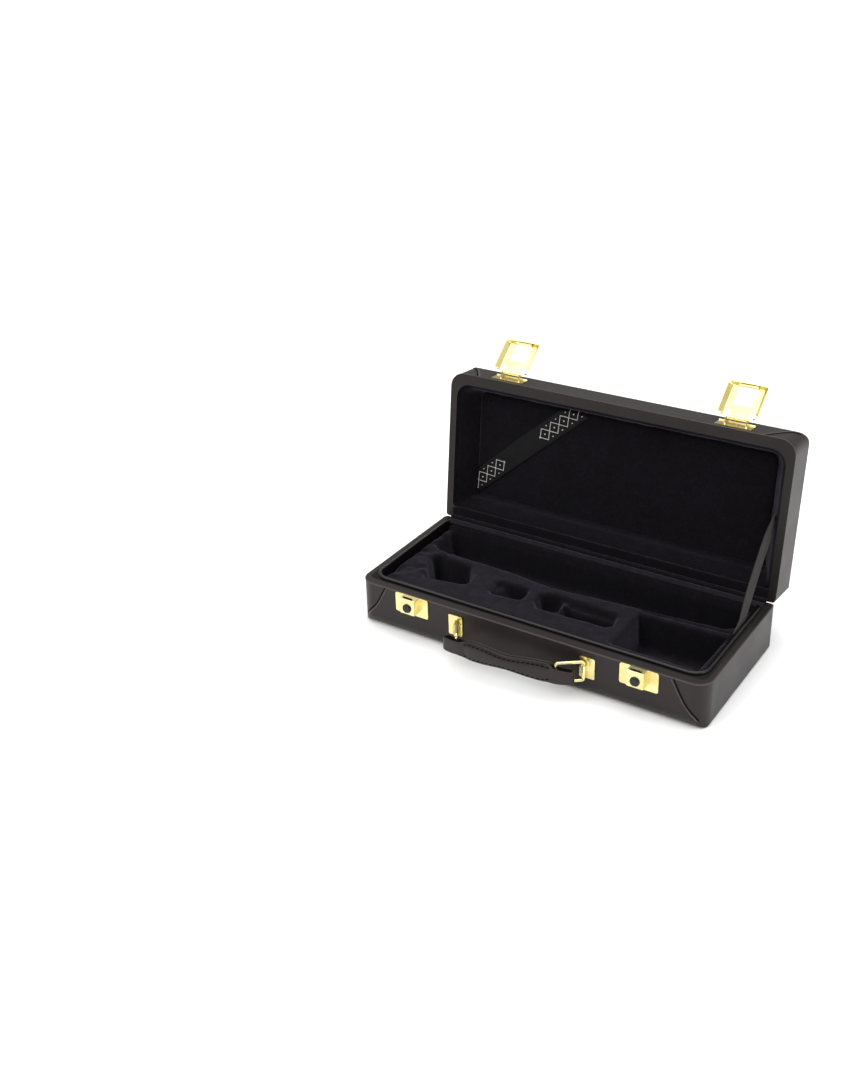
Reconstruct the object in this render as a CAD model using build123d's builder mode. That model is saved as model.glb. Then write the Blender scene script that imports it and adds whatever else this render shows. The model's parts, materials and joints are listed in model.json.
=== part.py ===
from build123d import *
import os
from math import sin, cos, asin, degrees, radians, sqrt, hypot

os.makedirs("parts", exist_ok=True)

# ---------------------------------------------------------------- sizes (mm)
LENGTH = 350.0          # along X
DEPTH = 153.0           # along Y, front wall to back wall
BASE_H = 45.0           # base half, floor to parting plane
LID_H = 38.0            # lid half
GAP = 0.15              # half of the gap between the two rims
R_FRONT = 14.5          # upright front corners
R_BACK = 3.3            # upright back corners
R_EDGE = 11.0           # long front edge of the bottom and of the lid's face
R_END = 2.8             # edges along the ends
LEATHER = 1.3
RIM_T = 1.35
BOARD = 3.0             # top and bottom boards
WALL_F = 10.0           # rim width, front and back
WALL_E = 7.0            # rim width, ends
LIP_W = 4.0
LIP_TOP = 47.8
FLOOR_Z = LEATHER + 0.05 + BOARD
THETA = 96.2            # opening of the lid at rest
HINGE_Y = DEPTH / 2 + 0.5
HINGE_Z = BASE_H
KNUCKLE_R = 1.7
LEAF_T = 0.9
LOCK_X = 115.0
FLAP_Y = -(DEPTH / 2 + 5.6)
FLAP_Z = 59.0
FLAP_OPEN = 133.0
BRACKET_X = 65.0
PIVOT_Y = -(DEPTH / 2 + 3.0)
RING_REACH = 24.5
WIRE_R = 1.4
RING_H = 21.5
RING_ANGLE_R = 53.0     # from straight out, inward
RING_ANGLE_L = 33.0
RING_Z_R = 25.6
RING_Z_L = 25.6
LAND_Z = 40.0           # top face of the moulded insert
FRONT = -DEPTH / 2
BACK = DEPTH / 2
E = 0.02                # bedding gap between pieces of one half

# ------------------------------------------------------------------- planes
BASE = Plane.XY


def turned(y0, z0, y, z, deg):
    """Where (y, z) goes when it is opened by deg about the X axis at (y0, z0)."""
    a = radians(deg)
    return (y0 + (y - y0) * cos(a) + (z - z0) * sin(a),
            z0 - (y - y0) * sin(a) + (z - z0) * cos(a))


def opened(y0, z0, deg):
    """Plane whose own coordinates are those of the closed state."""
    oy, oz = turned(y0, z0, 0.0, 0.0, deg)
    a = radians(deg)
    return Plane(origin=(0, oy, oz), x_dir=(1, 0, 0), z_dir=(0, sin(a), cos(a)))


LID = opened(HINGE_Y, HINGE_Z, THETA)
_fy, _fz = turned(HINGE_Y, HINGE_Z, FLAP_Y, FLAP_Z, THETA)
_a = radians(THETA + FLAP_OPEN)
FLAP = Plane(origin=(0, _fy - FLAP_Y * cos(_a) - FLAP_Z * sin(_a),
                     _fz + FLAP_Y * sin(_a) - FLAP_Z * cos(_a)),
             x_dir=(1, 0, 0), z_dir=(0, sin(_a), cos(_a)))


def side(p, x):
    """Plane across X: its own coordinates are (y, z)."""
    return Plane(origin=p.origin + p.x_dir * x, x_dir=p.y_dir, z_dir=p.x_dir)


def face(p, y):
    """Plane across Y, facing out of the front wall: its coordinates are (x, z)."""
    return Plane(origin=p.origin + p.y_dir * y, x_dir=p.x_dir, z_dir=-p.y_dir)


def plan(front, end, rf, rb, mode=Mode.ADD):
    """Rounded outline, set in from the case's outer faces."""
    x, y0, y1 = LENGTH / 2 - end, FRONT + front, BACK - front
    with BuildLine() as line:
        FilletPolyline((-x, y0), (x, y0), (x, y1), (-x, y1),
                       radius=(rf, rf, rb, rb), close=True)
    make_face(line.edges(), mode=mode)


def outer(p, z_rim, z_face, t):
    """One half of the case as a solid block, set in by t."""
    lo, hi = min(z_rim, z_face), max(z_rim, z_face)
    s = 1 if z_face > z_rim else -1
    y0, y1, ze, zr = FRONT + t - 0.002, BACK - t + 0.002, z_face, z_rim - s * 5
    with BuildSketch(p.offset(lo - (3 if s < 0 else 0))) as s1:
        plan(t, t, R_FRONT - t, R_BACK - t)
    extrude(s1.sketch, amount=hi - lo + 3)
    with BuildSketch(side(p, -LENGTH / 2 - 5)) as s2:
        with BuildLine():
            FilletPolyline((y0, zr), (y0, ze), (y1, ze), (y1, zr),
                           radius=(0, R_EDGE - t, R_BACK - t, 0), close=True)
        make_face()
    extrude(s2.sketch, amount=LENGTH + 10, mode=Mode.INTERSECT)
    x = LENGTH / 2 - t + 0.002
    with BuildSketch(face(p, BACK + 5)) as s3:
        with BuildLine():
            FilletPolyline((-x, zr), (-x, ze + (0.002 if s > 0 else -0.002)), (x, ze + (0.002 if s > 0 else -0.002)), (x, zr),
                           radius=(0, R_END - t / 2, R_END - t / 2, 0), close=True)
        make_face()
    extrude(s3.sketch, amount=DEPTH + 10, mode=Mode.INTERSECT)


def ring(p, z0, z1, a, b):
    """Upright band between two outlines, each (front, end, rf, rb)."""
    with BuildSketch(p.offset(z0)) as s:
        plan(*a)
        plan(*b, mode=Mode.SUBTRACT)
    extrude(s.sketch, amount=z1 - z0)


def block(p, x0, x1, y0, y1, z0, z1, mode=Mode.ADD):
    """Square block given by its limits in the plane's own coordinates."""
    with BuildSketch(p.offset(z0)) as s:
        with Locations(((x0 + x1) / 2, (y0 + y1) / 2)):
            Rectangle(x1 - x0, y1 - y0)
    extrude(s.sketch, amount=z1 - z0, mode=mode)


def rod(plane, r, length, mode=Mode.ADD, at=((0, 0),)):
    with BuildSketch(plane) as s:
        with Locations(*at):
            Circle(r)
    extrude(s.sketch, amount=length, mode=mode)


# -------------------------------------------------------- shared tool solids
with BuildPart() as base_block:
    outer(BASE, BASE_H - GAP, 0, 0)
with BuildPart() as base_inset:
    outer(BASE, BASE_H + 2, LEATHER, LEATHER)
with BuildPart() as base_wood:
    outer(BASE, BASE_H - GAP, LEATHER + E, LEATHER + E)
with BuildPart() as lid_block:
    outer(LID, BASE_H + GAP, BASE_H + LID_H, 0)
with BuildPart() as lid_inset:
    outer(LID, BASE_H - 2, BASE_H + LID_H - LEATHER, LEATHER)
with BuildPart() as lid_wood:
    outer(LID, BASE_H + GAP, BASE_H + LID_H - LEATHER - E, LEATHER + E)

SEAM = ((143.5, 45.0), (152.3, 27.3), (162.0, 14.7), (167.0, 9.0), (167.6, -1.0))


def seam_block(p, flip):
    """Everything on the end side of the right-hand seam."""
    pts = [(x, 2 * BASE_H - z if flip else z) for x, z in SEAM]
    zt = 2 * BASE_H - 46 if flip else 46
    zb = 2 * BASE_H + 1 if flip else -1
    x0 = SEAM[0][0]
    with BuildSketch(face(p, -30)) as s:
        with BuildLine():
            Polyline([(x0, zt)] + pts[:-1] + [(SEAM[-1][0], zb), (180, zb), (180, zt), (x0, zt)])
        make_face()
    extrude(s.sketch, amount=60)
    lo, hi = (40, 92) if flip else (-2, 50)
    block(p, SEAM[-1][0], 180, -30, 80, lo, hi)


with BuildPart() as base_seam:
    seam_block(BASE, False)
    mirror(about=Plane.YZ)
with BuildPart() as lid_seam:
    seam_block(LID, True)
    mirror(about=Plane.YZ)

# rivet and screw places
LOCK_RIVETS = [(sx * LOCK_X + dx, z) for sx in (-1, 1) for dx in (-14.6, 14.6) for z in (28.6, 40.6)]
HEAD_R, HEAD_T = 1.5, 0.5          # countersunk rivet heads, flush with their plates
BRACKET_RIVETS = [(sx * (BRACKET_X + 5.6), z) for sx in (-1, 1) for z in (21.2, 35.6)]
FLAP_RIVETS = [(sx * LOCK_X + dx, 52.2) for sx in (-1, 1) for dx in (-12.6, 12.6)]
HINGE_X = 115.0
HINGE_W = 50.0
SCREWS = [(sx * HINGE_X + dx, 71.0) for sx in (-1, 1) for dx in (-18, 0, 18)]
SEG = HINGE_W / 5


def hinge_relief(p):
    for sx in (-1, 1):
        with BuildSketch(side(p, sx * HINGE_X - HINGE_W / 2 - 0.3)) as s:
            with Locations((HINGE_Y, HINGE_Z)):
                Circle(2.05)
        extrude(s.sketch, amount=HINGE_W + 0.6, mode=Mode.SUBTRACT)


# ----------------------------------------------------------------- base half
CAV = (WALL_F + 0.45, WALL_E + 0.45, 15, 6)
with BuildPart() as base_shell:
    add(base_wood.part)
    with BuildSketch(BASE.offset(FLOOR_Z)):
        plan(*CAV)
    extrude(amount=60, mode=Mode.SUBTRACT)
    # bed for the rim leather, front and ends
    block(BASE, -180, 180, -90, BACK - WALL_F + E, BASE_H - GAP - RIM_T - E, 50, Mode.SUBTRACT)
    for sx in (-1, 1):
        block(BASE, min(sx * 168, sx * 180), max(sx * 168, sx * 180), 60, 90,
              BASE_H - GAP - RIM_T - E, 50, Mode.SUBTRACT)
    block(BASE, -180, 180, 60, 90, BASE_H - 0.72, 50, Mode.SUBTRACT)
    for sx in (-1, 1):
        block(BASE, sx * HINGE_X - HINGE_W / 2 - 0.2, sx * HINGE_X + HINGE_W / 2 + 0.2,
              60, 90, BASE_H - KNUCKLE_R - E, 50, Mode.SUBTRACT)
    hinge_relief(BASE)
    rod(face(BASE, FRONT + 6), 1.05, 20, Mode.SUBTRACT, LOCK_RIVETS + BRACKET_RIVETS)
    rod(BASE.offset(34), 1.0, 20, Mode.SUBTRACT, SCREWS)
base_shell.part.label = "base_shell"
export_step(base_shell.part, "parts/base_shell.step")


def leather(p, blk, ins, rim_z0, rim_z1, leaf_z0, leaf_z1, holes):
    add(blk.part)
    add(ins.part, mode=Mode.SUBTRACT)
    for sx in (-1, 1):
        block(p, sx * HINGE_X - HINGE_W / 2 - 0.2, sx * HINGE_X + HINGE_W / 2 + 0.2,
              60, 90, leaf_z0, leaf_z1, Mode.SUBTRACT)
    # the rim leather lies on the edge of the walls, except along the back
    block(p, -180, 180, -90, BACK - WALL_F + E, rim_z0, rim_z1, Mode.SUBTRACT)
    for sx in (-1, 1):
        block(p, min(sx * 168, sx * 180), max(sx * 168, sx * 180), 60, 90, rim_z0, rim_z1, Mode.SUBTRACT)
    hinge_relief(p)
    rod(face(p, FRONT + 6), 1.05, 20, Mode.SUBTRACT, holes)


with BuildPart() as base_leather:
    leather(BASE, base_block, base_inset, BASE_H - GAP - RIM_T - E, 60, BASE_H - KNUCKLE_R - E, 60,
            LOCK_RIVETS + BRACKET_RIVETS)
with BuildPart() as base_cover:
    add(base_leather.part)
    add(base_seam.part, mode=Mode.SUBTRACT)
base_cover.part.label = "base_cover"
export_step(base_cover.part, "parts/base_cover.step")
with BuildPart() as base_end_right:
    add(base_leather.part)
    add(base_seam.part, mode=Mode.INTERSECT)
    block(BASE, -180, 0, -90, 90, -5, 60, Mode.SUBTRACT)
base_end_right.part.label = "base_end_right"
export_step(base_end_right.part, "parts/base_end_right.step")
with BuildPart() as base_end_left:
    add(base_leather.part)
    add(base_seam.part, mode=Mode.INTERSECT)
    block(BASE, 0, 180, -90, 90, -5, 60, Mode.SUBTRACT)
base_end_left.part.label = "base_end_left"
export_step(base_end_left.part, "parts/base_end_left.step")

with BuildPart() as base_rim:
    ring(BASE, BASE_H - GAP - RIM_T, BASE_H - GAP, (0, 0, R_FRONT, R_BACK), CAV)
    block(BASE, -167.98, 167.98, BACK - WALL_F, 90, 40, 50, Mode.SUBTRACT)
base_rim.part.label = "base_rim"
export_step(base_rim.part, "parts/base_rim.step")

with BuildPart() as base_lip:
    ring(BASE, FLOOR_Z + E, LIP_TOP, (WALL_F + 0.5, WALL_E + 0.5, 15, 6),
         (WALL_F + 0.5 + LIP_W, WALL_E + 0.5 + LIP_W, 11, 2))
    fillet(base_lip.edges().group_by(Axis.Z)[-1], 1.85)
    block(BASE, -163.49, 163.49, 40, 90, 0, 60, Mode.SUBTRACT)
    block(BASE, -180, 180, BACK - WALL_F - 0.55, 90, 0, 60, Mode.SUBTRACT)
    # bores for the webbing's tacks
    rod(side(BASE, 160), 0.75, 7, Mode.SUBTRACT, ((12, 43.6),))
base_lip.part.label = "base_lip"
export_step(base_lip.part, "parts/base_lip.step")


def pocket(pts, r, depth, taper):
    with BuildSketch(BASE.offset(LAND_Z)) as s:
        with BuildLine():
            FilletPolyline(pts, radius=r, close=True)
        make_face()
    extrude(s.sketch, amount=-depth, taper=taper, mode=Mode.SUBTRACT)


TROUGH = [(-157, 27), (-147, 20), (-54, 15.5), (-16, 10.5), (24, 14), (90, 19), (150, 24), (158, 31), (158, 61.5), (-157, 61.5)]
BELL = [(-148, 12), (-142, -8), (-132, -33), (-87.5, -26), (-90, -7), (-101, 7)]
BARREL = [(-65, -3), (-31, -2), (-28.5, -24), (-61, -27.5)]
MOUTHPIECE = [(-19, -4), (-6, 1), (60, -3), (63, -21), (58, -26), (8, -28), (-10, -28.5), (-18, -20)]
ACCESSORY = [(74, 9.5), (74, -49), (156, -49), (158, 12.5)]
with BuildPart() as base_insert:
    with BuildSketch(BASE.offset(FLOOR_Z + E)):
        with BuildLine():
            xi, y0i = LENGTH / 2 - 11.55, FRONT + 14.55
            FilletPolyline((-xi, y0i), (xi, y0i), (xi, BACK - WALL_F - 0.55), (-xi, BACK - WALL_F - 0.55),
                           radius=(11, 11, 4.5, 4.5), close=True)
        make_face()
    extrude(amount=LAND_Z - FLOOR_Z - E)
    block(BASE, -158, 158, 63.0, BACK - WALL_F - 0.55, LAND_Z - 2, BASE_H - 0.7)
    pocket(TROUGH, 5, 30, 6)
    pocket(BELL, 6, 30, 6)
    pocket(BARREL, 5, 24, 6)
    pocket(MOUTHPIECE, 6, 24, 6)
    pocket(ACCESSORY, 2, 34, 1)
    block(BASE, 161.9, 170, 2, 40, 34, 50, Mode.SUBTRACT)
base_insert.part.label = "base_insert"
export_step(base_insert.part, "parts/base_insert.step")

# plush strip that bridges the two back rims over the hinge knuckles
STRIP_T = 0.5


def strip_points():
    """Outline across X: flat on both rims, round the knuckles between them."""
    h, mid, r0 = STRIP_T / 2, 0.42, 2.64
    yb = BACK - WALL_F + 0.1
    sides = []
    for dr, dz in ((h, mid - h), (-h, mid + h)):
        r = r0 + dr
        a0 = 180 + degrees(asin(dz / r))
        a1 = 180 - degrees(asin(dz / r)) - THETA
        pts = [(yb, HINGE_Z - dz)]
        n = 10
        for i in range(n + 1):
            a = radians(a0 + (a1 - a0) * i / n)
            pts.append((HINGE_Y + r * cos(a), HINGE_Z + r * sin(a)))
        pts.append(turned(HINGE_Y, HINGE_Z, yb, HINGE_Z + dz, THETA))
        sides.append(pts)
    return sides[0] + sides[1][::-1]


_sp = strip_points()
with BuildPart() as back_strip:
    with BuildSketch(side(BASE, -167.4)):
        with BuildLine():
            Polyline(_sp + [_sp[0]])
        make_face()
    extrude(amount=334.8)
back_strip.part.label = "back_strip"
export_step(back_strip.part, "parts/back_strip.step")

# ------------------------------------------------------------------ lid half
LZ0 = BASE_H + GAP
LZ1 = BASE_H + LID_H
LID_CAV = (WALL_F, WALL_E, 15, 6)
LID_BOARD_Z = LZ1 - LEATHER - E - BOARD
with BuildPart() as lid_shell:
    add(lid_wood.part)
    with BuildSketch(LID.offset(40)):
        plan(*LID_CAV)
    extrude(amount=LID_BOARD_Z - 40, mode=Mode.SUBTRACT)
    block(LID, -180, 180, -90, BACK - WALL_F + E, 40, LZ0 + RIM_T + E, Mode.SUBTRACT)
    for sx in (-1, 1):
        block(LID, min(sx * 168, sx * 180), max(sx * 168, sx * 180), 60, 90,
              40, LZ0 + RIM_T + E, Mode.SUBTRACT)
    block(LID, -180, 180, 60, 90, 40, BASE_H + 0.72, Mode.SUBTRACT)
    for sx in (-1, 1):
        block(LID, sx * HINGE_X - HINGE_W / 2 - 0.2, sx * HINGE_X + HINGE_W / 2 + 0.2,
              60, 90, 40, BASE_H + KNUCKLE_R + E, Mode.SUBTRACT)
    hinge_relief(LID)
    rod(face(LID, FRONT + 6), 1.05, 20, Mode.SUBTRACT, FLAP_RIVETS)
    rod(LID.offset(40), 1.0, 16, Mode.SUBTRACT, SCREWS)
lid_shell.part.label = "lid_shell"
export_step(lid_shell.part, "parts/lid_shell.step")

with BuildPart() as lid_leather:
    leather(LID, lid_block, lid_inset, 40, LZ0 + RIM_T + E, 40, BASE_H + KNUCKLE_R + E, FLAP_RIVETS)
with BuildPart() as lid_cover:
    add(lid_leather.part)
    add(lid_seam.part, mode=Mode.SUBTRACT)
lid_cover.part.label = "lid_cover"
export_step(lid_cover.part, "parts/lid_cover.step")
with BuildPart() as lid_end_right:
    add(lid_leather.part)
    add(lid_seam.part, mode=Mode.INTERSECT)
    block(LID, -180, 0, -90, 90, 30, 99, Mode.SUBTRACT)
lid_end_right.part.label = "lid_end_right"
export_step(lid_end_right.part, "parts/lid_end_right.step")
with BuildPart() as lid_end_left:
    add(lid_leather.part)
    add(lid_seam.part, mode=Mode.INTERSECT)
    block(LID, 0, 180, -90, 90, 30, 99, Mode.SUBTRACT)
lid_end_left.part.label = "lid_end_left"
export_step(lid_end_left.part, "parts/lid_end_left.step")

with BuildPart() as lid_rim:
    ring(LID, LZ0, LZ0 + RIM_T, (0, 0, R_FRONT, R_BACK), (WALL_F + 0.2, WALL_E + 0.2, 14.8, 5.8))
    # turned-in edge that covers the wall beside the base's lip
    ring(LID, LZ0, 48.2, (WALL_F + 0.02, WALL_E + 0.02, 14.98, 5.98), (WALL_F + 0.2, WALL_E + 0.2, 14.8, 5.8))
    block(LID, -167.98, 167.98, BACK - WALL_F - 0.25, 90, 40, 50, Mode.SUBTRACT)
lid_rim.part.label = "lid_rim"
export_step(lid_rim.part, "parts/lid_rim.step")

PAD_Z = 67.0
with BuildPart() as lid_lining:
    ring(LID, LZ0 + RIM_T + E, LID_BOARD_Z - E, (WALL_F + 0.04, WALL_E + 0.04, 14.96, 5.96),
         (20.6, 20, 8, 6))
    with BuildSketch(LID.offset(44)):
        plan(WALL_F + 1, WALL_E + 1, 14, 5)
    extrude(amount=4.4, mode=Mode.SUBTRACT)
    # room for the base's lip along the front and the ends
    block(LID, -180, 180, -90, -55, 44, 48.3, Mode.SUBTRACT)
    for sx in (-1, 1):
        block(LID, min(sx * 159, sx * 180), max(sx * 159, sx * 180), -90, 70, 44, 48.3, Mode.SUBTRACT)
    with BuildSketch(LID.offset(48.3)):
        plan(14.2, 10.6, 12, 4)
    with BuildSketch(LID.offset(PAD_Z)):
        plan(20.6, 20, 8, 6)
    loft(mode=Mode.SUBTRACT)
    # flat seat for the end of the webbing
    block(LID, 150, 163.45, -12, 8, 44, 61, Mode.SUBTRACT)
    rod(side(LID, 160), 0.75, 8, Mode.SUBTRACT, ((-1.5, 50.6),))
lid_lining.part.label = "lid_lining"
export_step(lid_lining.part, "parts/lid_lining.step")

with BuildPart() as lid_pad:
    with BuildSketch(LID.offset(PAD_Z)):
        plan(20.65, 20.05, 7.9, 5.9)
    extrude(amount=LID_BOARD_Z - E - PAD_Z)
    fillet(lid_pad.faces().sort_by(Axis((0, 0, 0), tuple(LID.z_dir)))[0].edges(), 2.5)
lid_pad.part.label = "lid_pad"
export_step(lid_pad.part, "parts/lid_pad.step")

# satin band across the corner of the pad
_u = (95 / 126.8, -84 / 126.8)
_n = (84 / 126.8, 95 / 126.8)
_c0, _c1 = (-150, 38), (-55, -46)
_p = [(_c0[0] - 30 * _u[0] + 11.5 * _n[0], _c0[1] - 30 * _u[1] + 11.5 * _n[1]),
      (_c1[0] + 40 * _u[0] + 11.5 * _n[0], _c1[1] + 40 * _u[1] + 11.5 * _n[1]),
      (_c1[0] + 40 * _u[0] - 11.5 * _n[0], _c1[1] + 40 * _u[1] - 11.5 * _n[1]),
      (_c0[0] - 30 * _u[0] - 11.5 * _n[0], _c0[1] - 30 * _u[1] - 11.5 * _n[1])]
with BuildPart() as ribbon:
    with BuildSketch(LID.offset(PAD_Z - 0.65)):
        with BuildLine():
            Polyline(_p + [_p[0]])
        make_face()
    extrude(amount=0.6)
    with BuildSketch(LID.offset(PAD_Z - 2)):
        plan(21.6, 21, 7, 5)
    extrude(amount=4, mode=Mode.INTERSECT)
ribbon.part.label = "ribbon"
export_step(ribbon.part, "parts/ribbon.step")

# --------------------------------------------------------------- butt hinges


def leaf(p, sx, z0, z1, mine):
    xc = sx * HINGE_X
    block(p, xc - HINGE_W / 2, xc + HINGE_W / 2, 67.0, 74.8, z0, z1)
    for i in mine:
        x0 = xc - HINGE_W / 2 + i * SEG + 0.15
        block(p, x0, x0 + SEG - 0.3, 74.5, HINGE_Y, z0, z1)
        with BuildSketch(side(p, x0)) as s:
            with Locations((HINGE_Y, HINGE_Z)):
                Circle(KNUCKLE_R)
        extrude(s.sketch, amount=SEG - 0.3)
    with BuildSketch(side(p, xc - HINGE_W / 2 - 1)) as s:
        with Locations((HINGE_Y, HINGE_Z)):
            Circle(0.95)
    extrude(s.sketch, amount=HINGE_W + 2, mode=Mode.SUBTRACT)


B0, B1 = BASE_H - KNUCKLE_R, BASE_H - KNUCKLE_R + LEAF_T
for side_name, sx in (("left", -1), ("right", 1)):
    with BuildPart() as hinge_base:
        leaf(BASE, sx, B0, B1, (0, 2, 4))
        rod(BASE.offset(B0 - 1), 1.0, 5, Mode.SUBTRACT, [s for s in SCREWS if s[0] * sx > 0])
        rod(BASE.offset(B1 - 0.5), 1.7, 2, Mode.SUBTRACT, [s for s in SCREWS if s[0] * sx > 0])
    hinge_base.part.label = "hinge_base_" + side_name
    export_step(hinge_base.part, "parts/hinge_base_%s.step" % side_name)
    with BuildPart() as hinge_lid:
        leaf(LID, sx, 2 * BASE_H - B1, 2 * BASE_H - B0, (1, 3))
        rod(LID.offset(2 * BASE_H - B1 - 1), 1.0, 5, Mode.SUBTRACT, [s for s in SCREWS if s[0] * sx > 0])
        rod(LID.offset(2 * BASE_H - B1 - 1.5), 1.7, 2, Mode.SUBTRACT, [s for s in SCREWS if s[0] * sx > 0])
    hinge_lid.part.label = "hinge_lid_" + side_name
    export_step(hinge_lid.part, "parts/hinge_lid_%s.step" % side_name)
    with BuildPart() as hinge_pin:
        with BuildSketch(side(BASE, sx * HINGE_X - HINGE_W / 2 + 0.1)):
            with Locations((HINGE_Y, HINGE_Z)):
                Circle(0.9)
        extrude(amount=HINGE_W - 0.2)
    hinge_pin.part.label = "hinge_pin_" + side_name
    export_step(hinge_pin.part, "parts/hinge_pin_%s.step" % side_name)

with BuildPart() as hinge_screws_base:
    rod(BASE.offset(B1 - 0.48), 1.6, 0.42, Mode.ADD, SCREWS)
    rod(BASE.offset(B1 - 8.5), 0.95, 8.1, Mode.ADD, SCREWS)
hinge_screws_base.part.label = "hinge_screws_base"
export_step(hinge_screws_base.part, "parts/hinge_screws_base.step")
with BuildPart() as hinge_screws_lid:
    rod(LID.offset(2 * BASE_H - B1 + 0.06), 1.6, 0.42, Mode.ADD, SCREWS)
    rod(LID.offset(2 * BASE_H - B1 + 0.4), 0.95, 8.1, Mode.ADD, SCREWS)
hinge_screws_lid.part.label = "hinge_screws_lid"
export_step(hinge_screws_lid.part, "parts/hinge_screws_lid.step")

# --------------------------------------------------- locks on the front wall
PLATE_Y = FRONT - E               # back of the brass plates
PLATE_T = 1.0
PLATE_Y1 = PLATE_Y - PLATE_T      # front of the plates
BLOCK_Y0 = PLATE_Y1 - E
BLOCK_Y1 = FRONT - 8.7
BUTTON_Z = 35.5
BUTTON_R = 4.4
for side_name, sx in (("left", -1), ("right", 1)):
    xc = sx * LOCK_X
    with BuildPart() as lock_plate:
        with BuildSketch(face(BASE, PLATE_Y)):
            with Locations((xc, 34.5)):
                RectangleRounded(36, 20, 2)
            with Locations((xc, 44.5)):
                Rectangle(5, 2.4, mode=Mode.SUBTRACT)
        extrude(amount=PLATE_T)
        rod(face(BASE, PLATE_Y + 1), 1.05, 4, Mode.SUBTRACT, [r for r in LOCK_RIVETS if r[0] * sx > 0])
        rod(face(BASE, PLATE_Y1 + HEAD_T + 0.02), HEAD_R + 0.02, 4, Mode.SUBTRACT, [r for r in LOCK_RIVETS if r[0] * sx > 0])
        fillet(lock_plate.faces().sort_by(Axis.Y)[0].outer_wire().edges(), 0.3)
    lock_plate.part.label = "lock_plate_" + side_name
    export_step(lock_plate.part, "parts/lock_plate_%s.step" % side_name)

    with BuildPart() as lock_block:
        with BuildSketch(face(BASE, BLOCK_Y0)):
            with Locations((xc, 37.0)):
                RectangleRounded(16, 16, 0.8)
        extrude(amount=BLOCK_Y0 - BLOCK_Y1)
        fillet(lock_block.faces().sort_by(Axis.Y)[0].edges(), 0.6)
        with BuildSketch(face(BASE, BLOCK_Y0 + 1)):
            with Locations((xc, 37.0)):
                Rectangle(13.4, 13.6)
        extrude(amount=BLOCK_Y0 - BLOCK_Y1 + 1 - 1.05, mode=Mode.SUBTRACT)
        rod(face(BASE, -80), BUTTON_R + 0.06, 20, Mode.SUBTRACT, ((xc, BUTTON_Z),))
        # slot for the catch along the top front edge
        block(BASE, xc - 5.1, xc + 5.1, BLOCK_Y1 + 1.04, BLOCK_Y1 + 2.24, 42, 50, Mode.SUBTRACT)
    lock_block.part.label = "lock_block_" + side_name
    export_step(lock_block.part, "parts/lock_block_%s.step" % side_name)

    y_front = BLOCK_Y1 + 1.1       # inner side of the housing's front wall
    with BuildPart() as button:
        with BuildSketch(face(BASE, y_front + 1.0)):
            with Locations((xc, BUTTON_Z)):
                Circle(4.7)
        extrude(amount=1.0)
        with BuildSketch(face(BASE, y_front + 0.5)):
            with Locations((xc, BUTTON_Z)):
                Circle(BUTTON_R)
        extrude(amount=0.5 + 1.1 + 1.7)
        fillet(button.faces().sort_by(Axis.Y)[0].edges(), 1.1)
        with BuildSketch(face(BASE, PLATE_Y1 - 2.0)):
            with Locations((xc, BUTTON_Z)):
                Circle(1.4)
        extrude(amount=PLATE_Y1 - 2.0 - y_front - 0.5)
        # small notch at the bottom of the button's face
        block(BASE, xc - 0.6, xc + 0.6, BLOCK_Y1 - 5, BLOCK_Y1 - 0.4, 30.6, 32.6, Mode.SUBTRACT)
    button.part.label = "button_" + side_name
    export_step(button.part, "parts/button_%s.step" % side_name)

    s0, s1 = PLATE_Y1 - 0.35, y_front + 1.0 + 0.35
    with BuildPart() as button_spring:
        with BuildLine() as coil:
            Helix(pitch=(s0 - s1) / 4, height=s0 - s1, radius=2.3,
                  center=(xc, s0, BUTTON_Z), direction=(0, -1, 0))
        with BuildSketch(Plane(origin=coil.line @ 0, z_dir=coil.line % 0)):
            Circle(0.3)
        sweep(is_frenet=True)
    button_spring.part.label = "button_spring_" + side_name
    export_step(button_spring.part, "parts/button_spring_%s.step" % side_name)

    # sliding catch: nose behind the housing's front wall, fork down past the stem
    with BuildPart() as catch:
        block(BASE, xc - 5.0, xc + 5.0, y_front, y_front + 1.0, 41.9, 46.4)
        block(BASE, xc - 5.0, xc + 5.0, y_front, PLATE_Y1 - 0.4, 41.9, 42.6)
        for dx in (-4.2, 4.2):
            block(BASE, xc + dx - 0.8, xc + dx + 0.8, PLATE_Y1 - 1.2, PLATE_Y1 - 0.4, 32.0, 42.3)
        chamfer(catch.edges().filter_by(Axis.X).group_by(Axis.Z)[-1].sort_by(Axis.Y)[0], 0.6)
    catch.part.label = "catch_" + side_name
    export_step(catch.part, "parts/catch_%s.step" % side_name)

with BuildPart() as lock_rivets:
    rod(face(BASE, PLATE_Y1 + HEAD_T), HEAD_R, HEAD_T, Mode.ADD, LOCK_RIVETS)
    rod(face(BASE, FRONT + 5.6), 1.0, 5.6 + 0.8, Mode.ADD, LOCK_RIVETS)
lock_rivets.part.label = "lock_rivets"
export_step(lock_rivets.part, "parts/lock_rivets.step")

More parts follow.
